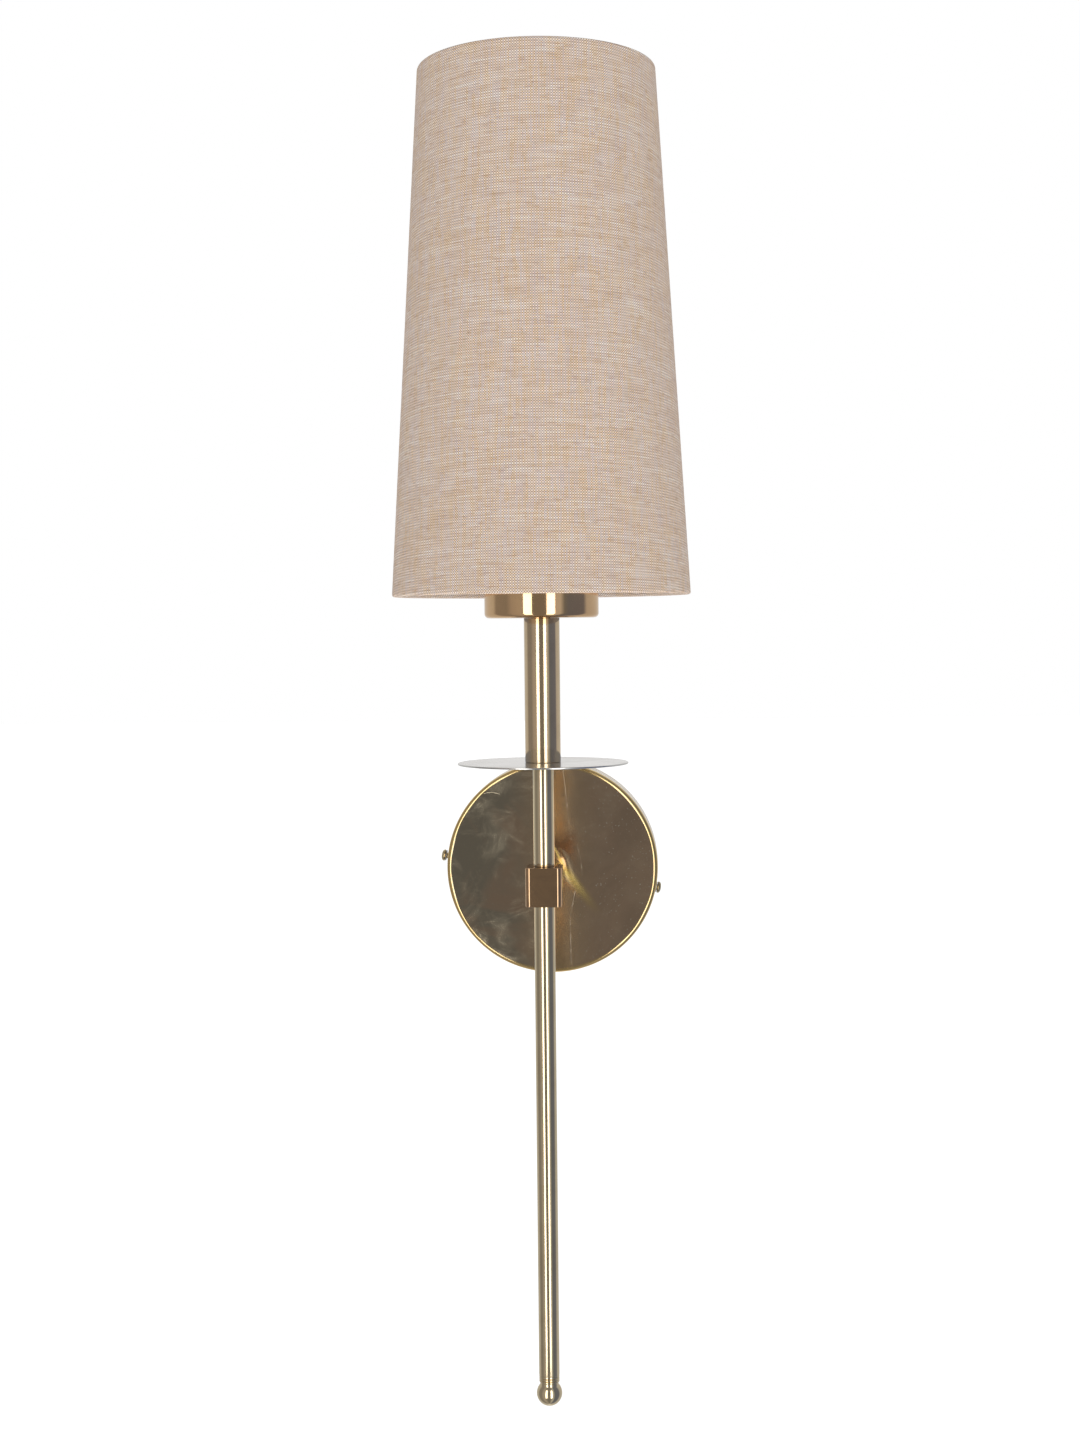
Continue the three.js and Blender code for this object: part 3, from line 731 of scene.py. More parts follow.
def scored_path(g, x, z, path, width, marks):
    """The marks so far, and an even straight mark from each point of a path to the next."""
    for start, end in zip(path, path[1:]):
        along, across, length = line_distances(g, x, z, start, end)
        inside = g.times(g.spread(along, -width, 0.0), g.spread(along, length + width, length))
        marks = g.math("MAXIMUM", marks, g.times(g.spread(across, width, 0.0), inside))
    return marks


def hairline(g, x, z, centre, radius, window):
    """A thin scratch along the part of a circle between two angles, in degrees."""
    dx, dz = g.minus(x, centre[0]), g.minus(z, centre[1])
    off = g.math("ABSOLUTE", g.minus(g.length(dx, dz), radius))
    angle = g.math("ARCTAN2", dz, dx)
    start, end = (radians(a) for a in window)
    inside = g.times(g.spread(angle, start, start + 0.1), g.spread(angle, end, end - 0.1))
    return g.times(g.spread(off, 0.00014, 0.00004), inside)


def make_metals():
    antique, tube_brass = (0.80, 0.67, 0.45), (0.85, 0.66, 0.43)
    return {
        "plate": plate_brass(),
        "rod": metal("antique_brass_rod", antique, (0.74, 0.61, 0.40), 0.085, 0.035, 60, ALONG_Z),
        "sleeve": metal("antique_brass_tube", tube_brass, (0.78, 0.60, 0.39), 0.08, 0.04, 60, ALONG_Z),
        "arm": metal("antique_brass_arm", tube_brass, (0.76, 0.60, 0.40), 0.12, 0.05, 60, ALONG_Y),
        "block": metal("antique_brass_block", (0.60, 0.39, 0.225), (0.5, 0.33, 0.2), 0.07, 0.05, 90),
        "screw": metal("antique_brass_screw", (0.66, 0.55, 0.34), (0.5, 0.42, 0.26), 0.24, 0.1, 180),
        "cup": metal("bright_brass", (0.88, 0.59, 0.33), (0.82, 0.55, 0.31), 0.06, 0.03, 30, ROUND_Z),
        "contact": metal("contact_brass", (0.86, 0.68, 0.38), (0.7, 0.52, 0.28), 0.2, 0.08, 60),
        "disc": metal("disc_steel", (0.83, 0.82, 0.80), (0.76, 0.75, 0.73), 0.16, 0.06, 34),
        "zinc": metal("zinc_steel", (0.66, 0.68, 0.70), (0.5, 0.52, 0.55), 0.34, 0.16, 120),
        "bulb_metal": metal("bulb_metal", (0.75, 0.75, 0.74), (0.6, 0.6, 0.6), 0.22, 0.1, 90),
    }


# ---------------------------------------------------------------- other materials


def plastic(name, colour, shadow, roughness, grain, **constants):
    """Moulded or glazed material with a faint grain and uneven gloss."""
    g = Graph(name, **constants)
    place = g.place()
    clouds = g.noise(place, 70, 4.0)
    fine = g.noise(place, grain, 2.0)
    base = g.blend(g.spread(clouds, 0.35, 0.7), colour, shadow)
    base = g.blend(g.spread(fine, 0.62, 0.75, 0.0, 0.25), base, shadow)
    rough = g.spread(clouds, 0.3, 0.75, roughness, roughness + 0.12)
    rough = g.plus(rough, g.spread(fine, 0.4, 0.8, 0, 0.05))
    return g.done(base, rough, g.bump(fine, 0.00002, 0.5))


WARP_BEIGE = (0.36, 0.27, 0.21)
WARP_GOLD = (0.37, 0.235, 0.10)
WARP_LILAC = (0.32, 0.27, 0.285)
WEFT_BEIGE = (0.78, 0.62, 0.51)
WEFT_CREAM = (0.88, 0.74, 0.64)
WEFT_BROWN = (0.58, 0.40, 0.30)
SLUB = (0.97, 0.89, 0.81)
PINK = (0.56, 0.375, 0.30)
NUB = (0.24, 0.14, 0.08)
ROW_CONTRAST = 0.17  # every other weft thread is lighter


def linen():
    """A plain weave of uneven threads on the flat cut. The darker warp runs up the shade in beige,
    golden and lilac threads. The lighter weft runs round it, with slubs and a few brown threads."""
    g = Graph("linen", Sheen_Weight=0.04, Sheen_Roughness=0.6, Specular_IOR_Level=0.15)
    cloth = g.cut()
    drift = g.noise(cloth, 90, 2.0)
    u, v, _ = g.split(cloth)
    across = g.times_plus(drift, 0.4, g.math("DIVIDE", u, WEAVE * MM))
    along = g.times_plus(drift, -0.3, g.math("DIVIDE", v, WEAVE * MM))
    over_warp = g.math("SINE", g.times(across, pi))
    over_weft = g.math("SINE", g.times(along, pi))
    crossing = g.times(over_warp, over_weft)
    warp = warp_colour(g, u, v, g.math("FLOOR", across))
    weft = weft_colour(g, u, g.math("FLOOR", along))
    base = g.blend(g.spread(crossing, -0.6, 0.6), warp, weft)
    base = blotches(g, base, cloth, u, v)
    row = g.times_plus(over_weft, ROW_CONTRAST, 1.0)
    base = g.blend(1.0, base, g.join(row, row, row), "MULTIPLY")
    height = g.times_plus(over_weft, 0.3, crossing)
    return g.done(base, g.spread(drift, 0.3, 0.7, 0.86, 0.95), g.bump(height, 0.00004, 0.5))


def streaks(g, x, y, offset=0.0, detail=0.0):
    """Noise that varies by one over x and over y, moved by an offset so that no two are alike."""
    return g.noise(g.join(g.plus(x, offset), y), 1.0, detail)


def warp_colour(g, u, v, thread):
    """Each warp thread keeps its shade for a centimetre or two, and its neighbours share some."""
    own = streaks(g, g.times(thread, 7.31), g.times(v, 80))
    shared = streaks(g, g.times(u, 520), g.times(v, 50), 3.0)
    golden = g.times_plus(own, 0.6, g.times(shared, 0.4))
    lilac = streaks(g, g.times(thread, 3.77), g.times(v, 75), 50.0)
    colour = g.blend(g.spread(golden, 0.43, 0.57), WARP_BEIGE, WARP_GOLD)
    return g.blend(g.spread(lilac, 0.52, 0.62, 0.0, 0.9), colour, WARP_LILAC)


def weft_colour(g, u, thread):
    """The weft is cream, with lighter slubs and a few thin brown threads."""
    own = streaks(g, g.times(u, 70), g.times(thread, 5.17))
    slub = streaks(g, g.times(u, 50), g.times(thread, 2.71), 8.0)
    brown = streaks(g, g.times(u, 190), g.times(thread, 9.13), 21.0)
    colour = g.blend(g.spread(own, 0.38, 0.64), WEFT_BEIGE, WEFT_CREAM)
    colour = g.blend(g.spread(slub, 0.56, 0.72, 0.0, 0.62), colour, SLUB)
    return g.blend(g.spread(brown, 0.61, 0.77, 0.0, 0.6), colour, WEFT_BROWN)


def blotches(g, base, cloth, u, v):
    """Faint golden and pink patches under a centimetre wide, and a few dark nubs of thread."""
    gold = g.noise(cloth, 150, 3.0, 0.6)
    base = g.blend(g.spread(gold, 0.50, 0.72, 0.0, 0.15), base, WARP_GOLD)
    pink = g.noise(g.mapped(cloth, Location=(3, 5, 0)), 110, 3.0, 0.6)
    base = g.blend(g.spread(pink, 0.52, 0.74, 0.0, 0.15), base, PINK)
    nubs = streaks(g, g.times(u, 420), g.times(v, 620), 0.0, 1.0)
    return g.blend(g.spread(nubs, 0.76, 0.83, 0.0, 0.6), base, NUB)


def clear_glass():
    g = Graph("bulb_glass", Transmission_Weight=1.0, IOR=1.46, Specular_IOR_Level=0.5)
    smears = g.noise(g.place(), 60, 3.0)
    return g.done((0.97, 0.985, 0.98, 1), g.spread(smears, 0.35, 0.75, 0.0, 0.05))


def striped_earth():
    """Green insulation with a yellow stripe that winds round it."""
    g = Graph("earth_insulation", Specular_IOR_Level=0.4)
    turn, along, _ = g.split(g.cut())
    wound = g.math("FRACT", g.plus(g.times(turn, 0.5), g.times(along, 60)))
    stripe = g.times(g.spread(wound, 0.28, 0.32), g.spread(wound, 0.72, 0.68))
    grain = g.noise(g.place(), 800, 2.0)
    base = g.blend(stripe, (0.09, 0.33, 0.06), (0.80, 0.66, 0.06))
    return g.done(base, g.spread(grain, 0.3, 0.7, 0.35, 0.5), g.bump(grain, 0.00002, 0.4))


def phosphor():
    """The yellow coat of a light strip, thicker in some places."""
    g = Graph("filament", Specular_IOR_Level=0.3)
    grain = g.noise(g.place(), 2200, 3.0)
    base = g.blend(g.spread(grain, 0.35, 0.7), (0.86, 0.62, 0.10), (0.94, 0.76, 0.22))
    return g.done(base, g.spread(grain, 0.3, 0.7, 0.5, 0.7), g.bump(grain, 0.00003, 0.5))


def make_others():
    return {
        "linen": linen(),
        "liner": plastic("shade_liner", (0.80, 0.77, 0.70), (0.74, 0.70, 0.62), 0.45, 500),
        "white_wire": plastic("white_wire", (0.82, 0.82, 0.80), (0.70, 0.70, 0.67), 0.3, 600),
        "phenolic": plastic("black_phenolic", (0.022, 0.019, 0.017), (0.035, 0.030, 0.026), 0.28, 700),
        "ceramic": plastic(
            "white_ceramic", (0.80, 0.78, 0.72), (0.72, 0.69, 0.62), 0.12, 400, Coat_Weight=0.5
        ),
        "nylon": plastic("white_nylon", (0.78, 0.77, 0.73), (0.70, 0.69, 0.65), 0.4, 800),
        "insulator": plastic("bulb_insulator", (0.012, 0.012, 0.016), (0.03, 0.03, 0.035), 0.12, 500),
        "live": plastic("live_insulation", (0.16, 0.055, 0.022), (0.11, 0.035, 0.015), 0.38, 900),
        "neutral": plastic("neutral_insulation", (0.02, 0.10, 0.34), (0.014, 0.07, 0.24), 0.38, 900),
        "earth": striped_earth(),
        "glass": clear_glass(),
        "phosphor": phosphor(),
    }


# ---------------------------------------------------------------- wall side


def make_bracket(metals):
    """A strap with its ends bent forward into tabs, slotted for the wall's screws."""
    sheet, bend, width, depth, half = 1.5, 2.0, 18.0, 16.0, 48.4
    thread, ground, slot_from, slot_reach, slot_end = 1.7, 11, 27, 5.5, 2.5
    inner = bend - sheet
    outline = (
        [(-half, -depth), (-half + sheet, -depth)]
        + arc(-half + bend, -bend, inner, 180, 90)
        + arc(half - bend, -bend, inner, 90, 0)
        + [(half - sheet, -depth), (half, -depth)]
        + arc(half - bend, -bend, bend, 0, 90)
        + arc(-half + bend, -bend, bend, 90, 180)
    )
    strap = prism("strap", outline, -width / 2, width / 2, "Z", edge=0.2)
    slot = arc(slot_reach, 0, slot_end, -90, 90, 12) + arc(-slot_reach, 0, slot_end, 90, 270, 12)
    sides = (-1, 1)
    cutters = [rod_cutter(thread, 120, "X", SCREW_LINE)]
    cutters += [rod_cutter(thread, 8, "Y", (side * ground, 0, 0)) for side in sides]
    cutters += [prism("slot", slot, -4, 4, "Y", (side * slot_from, 0, 0)) for side in sides]
    cut(strap, *cutters)
    finish(turned(strap), "wall_bracket", metals["zinc"])


def rod_cutter(radius, length, axis, centre):
    profile = [(0, -length / 2), (radius, -length / 2), (radius, length / 2), (0, length / 2)]
    return revolve("cutter", profile, axis, centre, 32)


def make_canopy(metals):
    """A spun dish with a soft ridge on its face, and a notch in its rim for each side screw."""
    low, high = span("canopy")
    front = low.y - high.y
    sheet, edge, notch = 1.0, 2.0, 1.8
    face = dense([(STUD_HOLE, front), (CANOPY - edge, front)], 0.8, closed=False)
    corner = arc(CANOPY - edge, front + edge, edge, -90, 0, 8)[1:]
    inner = arc(CANOPY - edge, front + edge, edge - sheet, 0, -90, 6)
    wall = [(CANOPY, -0.2), (CANOPY - 0.2, 0), (CANOPY - sheet, 0)]
    profile = face + corner + wall + inner + [(STUD_HOLE, front + sheet)]

    def relief(angle, r, h):
        if h > front + 1e-3 or r > CANOPY - edge:
            return r, h
        swung = angle - CANOPY_TURN
        return r, h - face_relief(r * cos(swung), r * sin(swung))

    dish = revolve("dish", profile, "Y", columns=240, relief=relief, sharp=50)
    reach, back = CANOPY + 9.2, 2
    outline = rectangle((-reach, SCREW_LINE.y), (reach, back))
    slit = prism("slit", outline, SCREW_LINE.z - notch, SCREW_LINE.z + notch, "Z")
    cut(dish, slit, rod_cutter(notch, 130, "X", SCREW_LINE), sharp=50)
    finish(turned(dish), "canopy", metals["plate"])


# the ridge's line on the canopy's face, from above the arm's hole down to the right
RIDGE = [(2.6, 9.2), (4.6, 7.2), (6.3, 4), (7.6, -0.5), (9.0, -5), (13, -11), (18, -17.5)]


def face_relief(x, z):
    """How far the canopy's face stands proud, in millimetres: it isn't quite flat."""
    waves = 0.05 * sin(x / 8.0 + 0.4) * cos(z / 11.0) + 0.03 * sin((x + 1.6 * z) / 6.0)
    return ridge(x, z) + waves


def ridge(x, z):
    """A low ridge along its line, wider towards the lower end and fading at both."""
    best, share = 1e9, 0
    for i, ((ax, az), (bx, bz)) in enumerate(zip(RIDGE, RIDGE[1:])):
        dx, dz = bx - ax, bz - az
        t = max(0, min(1, ((x - ax) * dx + (z - az) * dz) / (dx * dx + dz * dz)))
        away = hypot(x - ax - dx * t, z - az - dz * t)
        if away < best:
            best, share = away, (i + t) / (len(RIDGE) - 1)
    width = 0.9 + 1.6 * share
    height = 0.24 * sin(pi * min(1, share * 1.02 + 0.02)) ** 0.8
    return height * exp(-((best / width) ** 2))


def make_side_screws(metals):
    for name, sign, slack in (("left", -1, LEFT_SLACK), ("right", 1, 0.0)):
        place = SCREW_LINE + Vector((sign * (CANOPY + slack), 0, 0))
        seat = Matrix.Translation(place * MM) @ Matrix.Rotation(0 if sign > 0 else pi, 4, "Z")
        finish(turned(moved(side_screw(), seat)), f"side_screw_{name}", metals["screw"])
        washer = revolve("washer", pipe(0.1, 0.4, 2.6, 1.7, 0.08), "X", columns=TINY)
        finish(turned(moved(washer, seat)), f"side_washer_{name}", metals["zinc"])


def side_screw():
    """A slotted dome head on a threaded shank, pointing along +X."""
    shank, length, head, rise, foot, lip = 1.5, 9.0, 2.8, 1.9, 0.6, 0.5
    half_slot, slot_depth = 0.35, 0.6
    tip, thread_end = foot - length, foot - 1.2
    thread = dense([(shank, tip + 0.3), (shank, thread_end)], 0.09, closed=False)
    neck = [(shank - 0.1, foot - 1.1), (shank - 0.1, foot)]
    rim = [(head * 0.84, foot), (head * 0.95, foot + 0.15)]
    turns = [radians(a) for a in range(0, 90, 9)]
    dome = [(head * cos(a) ** 0.8, foot + lip + (rise - lip) * sin(a)) for a in turns]
    profile = [(0, tip), (shank - 0.3, tip)] + thread + neck + rim + dome + [(0, foot + rise)]
    cutting = helix(shank, tip + 0.3, thread_end, SCREW_THREAD, 0.25)

    def relief(angle, r, h):
        return cutting(angle, r, h) if abs(r - shank) < 1e-6 and h < foot - 1.15 else (r, h)

    screw = revolve("screw", profile, "X", columns=TINY, relief=relief)
    outline = rectangle((-half_slot, -5), (half_slot, 5))
    return cut(screw, prism("slot", outline, foot + rise - slot_depth, foot + rise + 1, "X"))


# ---------------------------------------------------------------- arm and stem


def make_arm(metals):
    low, high = span("arm_tube")
    arm = revolve("arm", pipe(low.y, high.y, radius_of("arm_tube"), PIPE_BORE), "Y")
    finish(arm, "arm_tube", metals["arm"])
    low, high = span("arm_stud")
    finish(threaded_pipe(low.y, high.y, "Y"), "arm_stud", metals["zinc"])
    low, high = span("arm_nut")
    finish(hex_nut(low.y, high.y, "Y"), "arm_nut", metals["zinc"])
    finish(lock_washer(), "arm_lock_washer", metals["zinc"])
    finish(earth_lug(), "earth_lug", metals["zinc"])


def threaded_pipe(low, high, axis, centre=(0, 0, 0)):
    outer, depth = radius_of("stem_stud"), 0.45
    profile = threaded(low, high, outer, STUD_BORE, STUD_THREAD)
    cutting = helix(outer, low, high, STUD_THREAD, depth)
    return revolve("stud", profile, axis, centre, 36, cutting, 60)


def hex_nut(low, high, axis, centre=(0, 0, 0)):
    """A nut with its corners turned down at both ends."""
    flats, slope, broken = 13.0, 0.58, 0.4
    corner, top = flats / sqrt(3), flats / 2 - 0.2
    drop = (corner - top) * slope
    foot = [(PIPE_BORE, low + broken), (PIPE_BORE + broken, low), (top, low), (corner, low + drop)]
    head = [(r, high + low - h) for r, h in reversed(foot)]

    def relief(angle, r, h):
        share = (angle % (pi / 3)) - pi / 6
        return min(r, flats / 2 / cos(share)), h

    return revolve("nut", dense(foot + head, 0.35), axis, centre, 96, relief, 30)


def lock_washer():
    """A washer with twisted teeth round it."""
    low, high = span("arm_lock_washer")
    root, tip, teeth, tooth_share = 6.4, 7.6, 12, 0.62
    foot = [(PIPE_BORE, low.y), (root, low.y), (tip, low.y)]
    head = [(r, high.y) for r, _ in reversed(foot)]
    middle = (low.y + high.y) / 2

    def relief(angle, r, h):
        phase = angle * teeth / (2 * pi) % 1
        if phase >= tooth_share:
            return min(r, root), h
        if r > root + 0.1:
            h = middle + (h - middle) * 0.6 + (phase / tooth_share - 0.5) * 0.25
        return r, h

    return revolve("washer", foot + head, "Y", columns=192, relief=relief, sharp=30)


def earth_lug():
    """A ring lug with a crimped barrel."""
    sheet, ring, width, barrel_low, barrel_high, grip = 0.8, 7.0, 5.0, 13, 20, 1.1
    plate_low = span("arm_lock_washer")[1].y + 0.3
    plate_high = plate_low + sheet
    eye = revolve("eye", pipe(plate_low, plate_high, ring, PIPE_BORE, 0.12), "Y")
    outline = rectangle((ring - 1.5, -width / 2), (ring + 7.5, width / 2))
    tongue = prism("tongue", outline, plate_low, plate_high, "Y", edge=0.1)
    middle = (barrel_low + barrel_high) / 2

    def crimp(angle, r, h):
        pinch = exp(-(((h - middle) / grip) ** 2)) * max(0, -cos(angle)) ** 2
        return r * (1 - 0.16 * pinch), h

    profile = dense(pipe(barrel_low, barrel_high, 2.1, 1.4, 0.15), 0.35)
    barrel = revolve("barrel", profile, "X", (0, plate_low + 1.9, 0), TINY, crimp)
    return merge("lug", [tongue, eye, barrel])


def make_block(metals):
    """A square block with rounded uprights and crisp, barely broken ends. The stem's rod passes
    through it, and the arm's goes in at the back."""
    low, high = span("knuckle_block")
    width, corner, broken = high.x - low.x, 2.2, 0.3
    outline = block_outline(width, width, corner, 10)
    body = prism("block", outline, low.z, high.z, "Z", STEM, edge=broken)
    bore = rod_cutter(STUD_HOLE, 40, "Z", STEM)
    level = rod_cutter(STUD_HOLE, 20, "Y", STEM + Vector((0, 10, 0)))
    cut(body, bore, level)
    finish(body, "knuckle_block", metals["block"])


def make_stem(metals):
    sleeve_bore = 6.95
    for node, material, bore in (
        ("lower_rod", "rod", PIPE_BORE),
        ("upper_rod", "rod", PIPE_BORE),
        ("upper_sleeve", "sleeve", sleeve_bore),
    ):
        low, high = heights(node)
        piece = on_stem("pipe", pipe(low - SEAT, high + SEAT, radius_of(node), bore))
        finish(piece, node, metals[material])
    for node in ("lower_stud", "stem_stud"):
        finish(threaded_pipe(*heights(node), "Z", STEM), node, metals["zinc"])
    finish(hex_nut(*heights("stem_nut"), "Z", STEM), "stem_nut", metals["zinc"])
    finish(finial(), "ball_finial", metals["rod"])
    finish(drip_disc(), "drip_disc", metals["disc"])
    finish(fitter_cup(), "fitter_cup", metals["cup"])


def finial():
    """A ball under a neck with three grooves, and a spigot that screws into the rod."""
    low, high = heights("ball_finial")
    ball = radius_of("ball_finial")
    neck, groove, pitch, spigot, spigot_radius = 4.6, 0.45, 1.1, 7.0, 4.0
    top = high - spigot
    meet = degrees(acos((neck - groove) / ball))
    profile = [(0, low)] + arc(0, low + ball, ball, -86, meet, 30)
    for i in range(3):
        start = top - (3 - i) * pitch
        profile += [(neck - groove, start + 0.02), (neck - 0.12, start + 0.22), (neck, start + 0.42)]
        profile += [(neck, start + 0.72), (neck - 0.12, start + 0.92)]
    profile += [(neck - 0.2, top), (spigot_radius, top), (spigot_radius, high - 0.3)]
    profile += [(spigot_radius - 0.3, high), (0, high)]
    return on_stem("finial", profile, columns=96, sharp=50)


def drip_disc():
    low, high = heights("drip_disc")
    radius = radius_of("drip_disc")
    corners = [(PIPE_BORE, low, 0.1), (radius, low, 0.3), (radius, high, 0.3), (PIPE_BORE, high, 0.1)]
    return on_stem("disc", dense(rounded(corners), 3), columns=192)


def fitter_cup():
    """A spun cup that holds the lampholder, with its rim's two edges broken."""
    low, high = heights("fitter_cup")
    radius, sheet, edge, broken = radius_of("fitter_cup"), 0.8, 2.0, 0.2
    middle = (radius - edge, low + edge)
    rim = [(radius, high - broken), (radius - broken, high)]
    rim += [(radius - sheet + broken, high), (radius - sheet, high - broken)]
    outside = [(PIPE_BORE, low)] + arc(*middle, edge, -90, 0, 8)
    inside = arc(*middle, edge - sheet, 0, -90, 6) + [(PIPE_BORE, low + sheet)]
    return on_stem("cup", outside + rim + inside, columns=ROUND)


# ---------------------------------------------------------------- lampholder and bulb


def make_lampholder(metals, others):
    finish(holder_cap(), "lampholder_cap", others["phenolic"])
    finish(holder_insert(), "lampholder_insert", others["ceramic"])
    finish(screw_shell(), "lampholder_screw_shell", metals["contact"])
    finish(centre_contact(), "lampholder_centre_contact", metals["contact"])
    finish(holder_skirt(), "lampholder_skirt", others["phenolic"])
    low, high = heights("shade_slip_ring")
    outer, inner = radius_of("shade_slip_ring"), 19.5
    slip = on_stem("slip", pipe(low, high, outer, inner, 0.2), columns=ROUND)
    finish(slip, "shade_slip_ring", others["nylon"])
    finish(ring_nut(), "shade_ring_nut", others["phenolic"])


def holder_cap():
    """The lower half of the lampholder: a collar, a cone and a ribbed drum."""
    low, high = heights("lampholder_cap")
    collar, well, inside, drum = 7, 6, 15, 17
    floor = span("lampholder_insert")[0].z - 0.3
    corners = [
        (PIPE_BORE, low), (collar, low, 0.4), (collar, low + 4, 0.8), (drum, low + 12, 1.2),
        (drum, high, 0.4), (inside, high, 0.2), (inside, floor, 0.3), (well, low + 5.4, 0.3),
        (PIPE_BORE, low + 5.4),
    ]

    def ribs(angle, r, h):
        if r < drum - 0.1 or h < low + 13.2 or h > high - 0.6:
            return r, h
        return r - 0.35 * max(0, cos(24 * angle)) ** 4, h

    return on_stem("cap", dense(rounded(corners), 1.2), columns=192, relief=ribs)


def holder_insert():
    """A glazed disc with a well for each wire's terminal."""
    low, high = heights("lampholder_insert")
    radius = radius_of("lampholder_insert")
    corners = [(0, low), (radius, low, 0.5), (radius, high, 0.5), (0, high)]
    body = on_stem("insert", rounded(corners), columns=96)
    places = [STEM + Vector((side * WELL, 0, high)) for side in (-1, 1)]
    return cut(body, *(rod_cutter(1.6, 20, "Z", place) for place in places))


def screw_shell():
    """A thin brass shell rolled into the bulb's thread."""
    low, high = heights("lampholder_screw_shell")
    radius, wall, depth = 14.0, 0.4, 0.35

    def roll(angle, r, h):
        wave = cos(2 * pi * (h / BULB_THREAD) + angle)
        fade = min(1, (h - low) / 2, (high - h) / 2)
        return r - depth * 0.5 * (1 - wave) * max(0, fade), h

    profile = dense(rectangle((radius - wall, low), (radius, high)), 0.5)
    return on_stem("shell", profile, columns=96, relief=roll)


def centre_contact():
    """A springy tongue that rises to the bulb's tip."""
    low, high = span("lampholder_centre_contact")
    sheet, half = 0.4, high.x
    strip = [(-half, low.z), (half, low.z), (half, low.z + sheet), (-half + 1.6, low.z + sheet)]
    strip += [(half - 1.6, high.z - sheet), (half - 1.3, high.z - sheet * 0.4), (half - 1.7, high.z)]
    strip += [(-half, low.z + 1.5 * sheet)]
    return prism("strip", strip, low.y, high.y, "Y", edge=0.06)


def holder_skirt():
    """A flange that the shade sits on, and a threaded skirt above it."""
    low, high = heights("lampholder_skirt")
    seat, thread, flange, inner = SHADE_SEAT, 19.0, 24.0, 16.2
    start, end = seat + 0.4, high - 1.0
    corners = [
        (inner, low, 0.2), (thread, low, 0.4), (thread, seat - 3), (flange, seat - 3, 0.4),
        (flange, seat, 0.4), (thread, seat), (thread, end), (thread - 1, high), (inner, high, 0.3),
    ]
    cutting = helix(thread, start, end, SKIRT_THREAD, 0.75)

    def relief(angle, r, h):
        if abs(r - thread) < 1e-6 and start < h < end:
            return cutting(angle, r, h)
        if r > flange - 0.1:
            return r - 0.3 * max(0, cos(30 * angle)) ** 4, h
        return r, h

    return on_stem("skirt", dense(rounded(corners), 0.42), columns=180, relief=relief)


def ring_nut():
    """A ring with a knurled flange and grip ribs round its body."""
    low, high = heights("shade_ring_nut")
    bore, flange, body, lip = 19.4, 25.0, 22.0, 2.0
    corners = [
        (bore, low, 0.2), (flange, low, 0.4), (flange, low + lip, 0.5), (body, low + lip, 0.3),
        (body, high, 0.5), (bore, high, 0.3),
    ]

    def grip(angle, r, h):
        if r > flange - 0.6:
            return r - 0.35 * (0.5 - 0.5 * cos(60 * angle)), h
        if r > body - 0.1 and h > low + lip + 0.3:
            return r - 0.7 * max(0, cos(12 * angle)) ** 6, h
        return r, h

    return on_stem("nut", dense(rounded(corners), 0.8), columns=360, relief=grip)


def make_bulb(metals, others):
    finish(bulb_cap(), "bulb_screw_base", metals["bulb_metal"])
    finish(bulb_insulator(), "bulb_insulator", others["insulator"])
    finish(bulb_button(), "bulb_contact", metals["bulb_metal"])
    finish(bulb_envelope(), "bulb_glass", others["glass"])
    finish(filaments(), "bulb_filaments", others["phosphor"])


def bulb_insulator():
    """A black glass cone under the cap, round the contact."""
    low, high = heights("bulb_insulator")
    profile = [(0, low), (5.2, low), (6.5, low + 0.15), (10.8, low + 1.6), (11, high), (0, high)]
    return on_stem("insulator", profile, columns=64)


def bulb_button():
    """The contact at the bulb's tip, a shallow dome."""
    low, high = heights("bulb_contact")
    radius, rise = 4.5, high - low
    turns = [a * pi / 20 for a in range(1, 11)]
    dome = [(radius * sin(a), low + rise * (1 - cos(a))) for a in turns]
    return on_stem("button", [(0, low)] + dome + [(0, high)], columns=TINY)


def bulb_cap():
    """A thin cap rolled into an E27 thread below a plain collar."""
    low, high = heights("bulb_screw_base")
    radius, wall, depth, foot = radius_of("bulb_screw_base"), 0.5, 1.1, 1.6
    end = high - 5.5  # the collar's lower edge

    def roll(angle, r, h):
        wave = 0.5 - 0.5 * cos(2 * pi * h / BULB_THREAD - angle)
        fade = max(0, min(1, (h - low - 0.6) / 1.5, (end - h) / 1.5))
        return r - depth * wave * fade, h

    outside = [(radius - foot, low), (radius - 0.5, low, 0.3), (radius, low + 1.2), (radius, end)]
    rim = [(radius, high - 1), (radius - 0.5, high, 0.2)]
    rim += [(radius - wall - 0.5, high), (radius - wall, high - 1)]
    inside = [(radius - wall, low + 1.2), (radius - foot, low + 0.5)]
    profile = dense(rounded(outside + rim + inside), 0.4)
    return on_stem("cap", profile, columns=96, relief=roll)


def bulb_envelope():
    """A clear pear-shaped envelope with a thin wall."""
    low, high = heights("bulb_glass")
    rise, wall, neck = high - low, 0.7, 12.3
    knots = [(neck, 0), (13.6, 0.1), (17.5, 0.36), (15.3, 0.6), (9.6, 0.8), (4.4, 0.93), (0.0, 1.0)]
    line = smooth_path([(r, 0, low + rise * share) for r, share in knots], 8)
    outer = [(p.x, p.z) for p in line]
    outer[-1] = (0, high)
    inner = []
    for (r, h), (r2, h2) in zip(outer, outer[1:]):
        slope = Vector((r2 - r, h2 - h)).normalized()
        inner.append((max(r - wall * slope.y, 0.3), h + wall * slope.x))
    profile = [(0, high)] + outer[-2::-1] + inner + [(0, high - wall)]
    return on_stem("envelope", profile, columns=96, sharp=80)


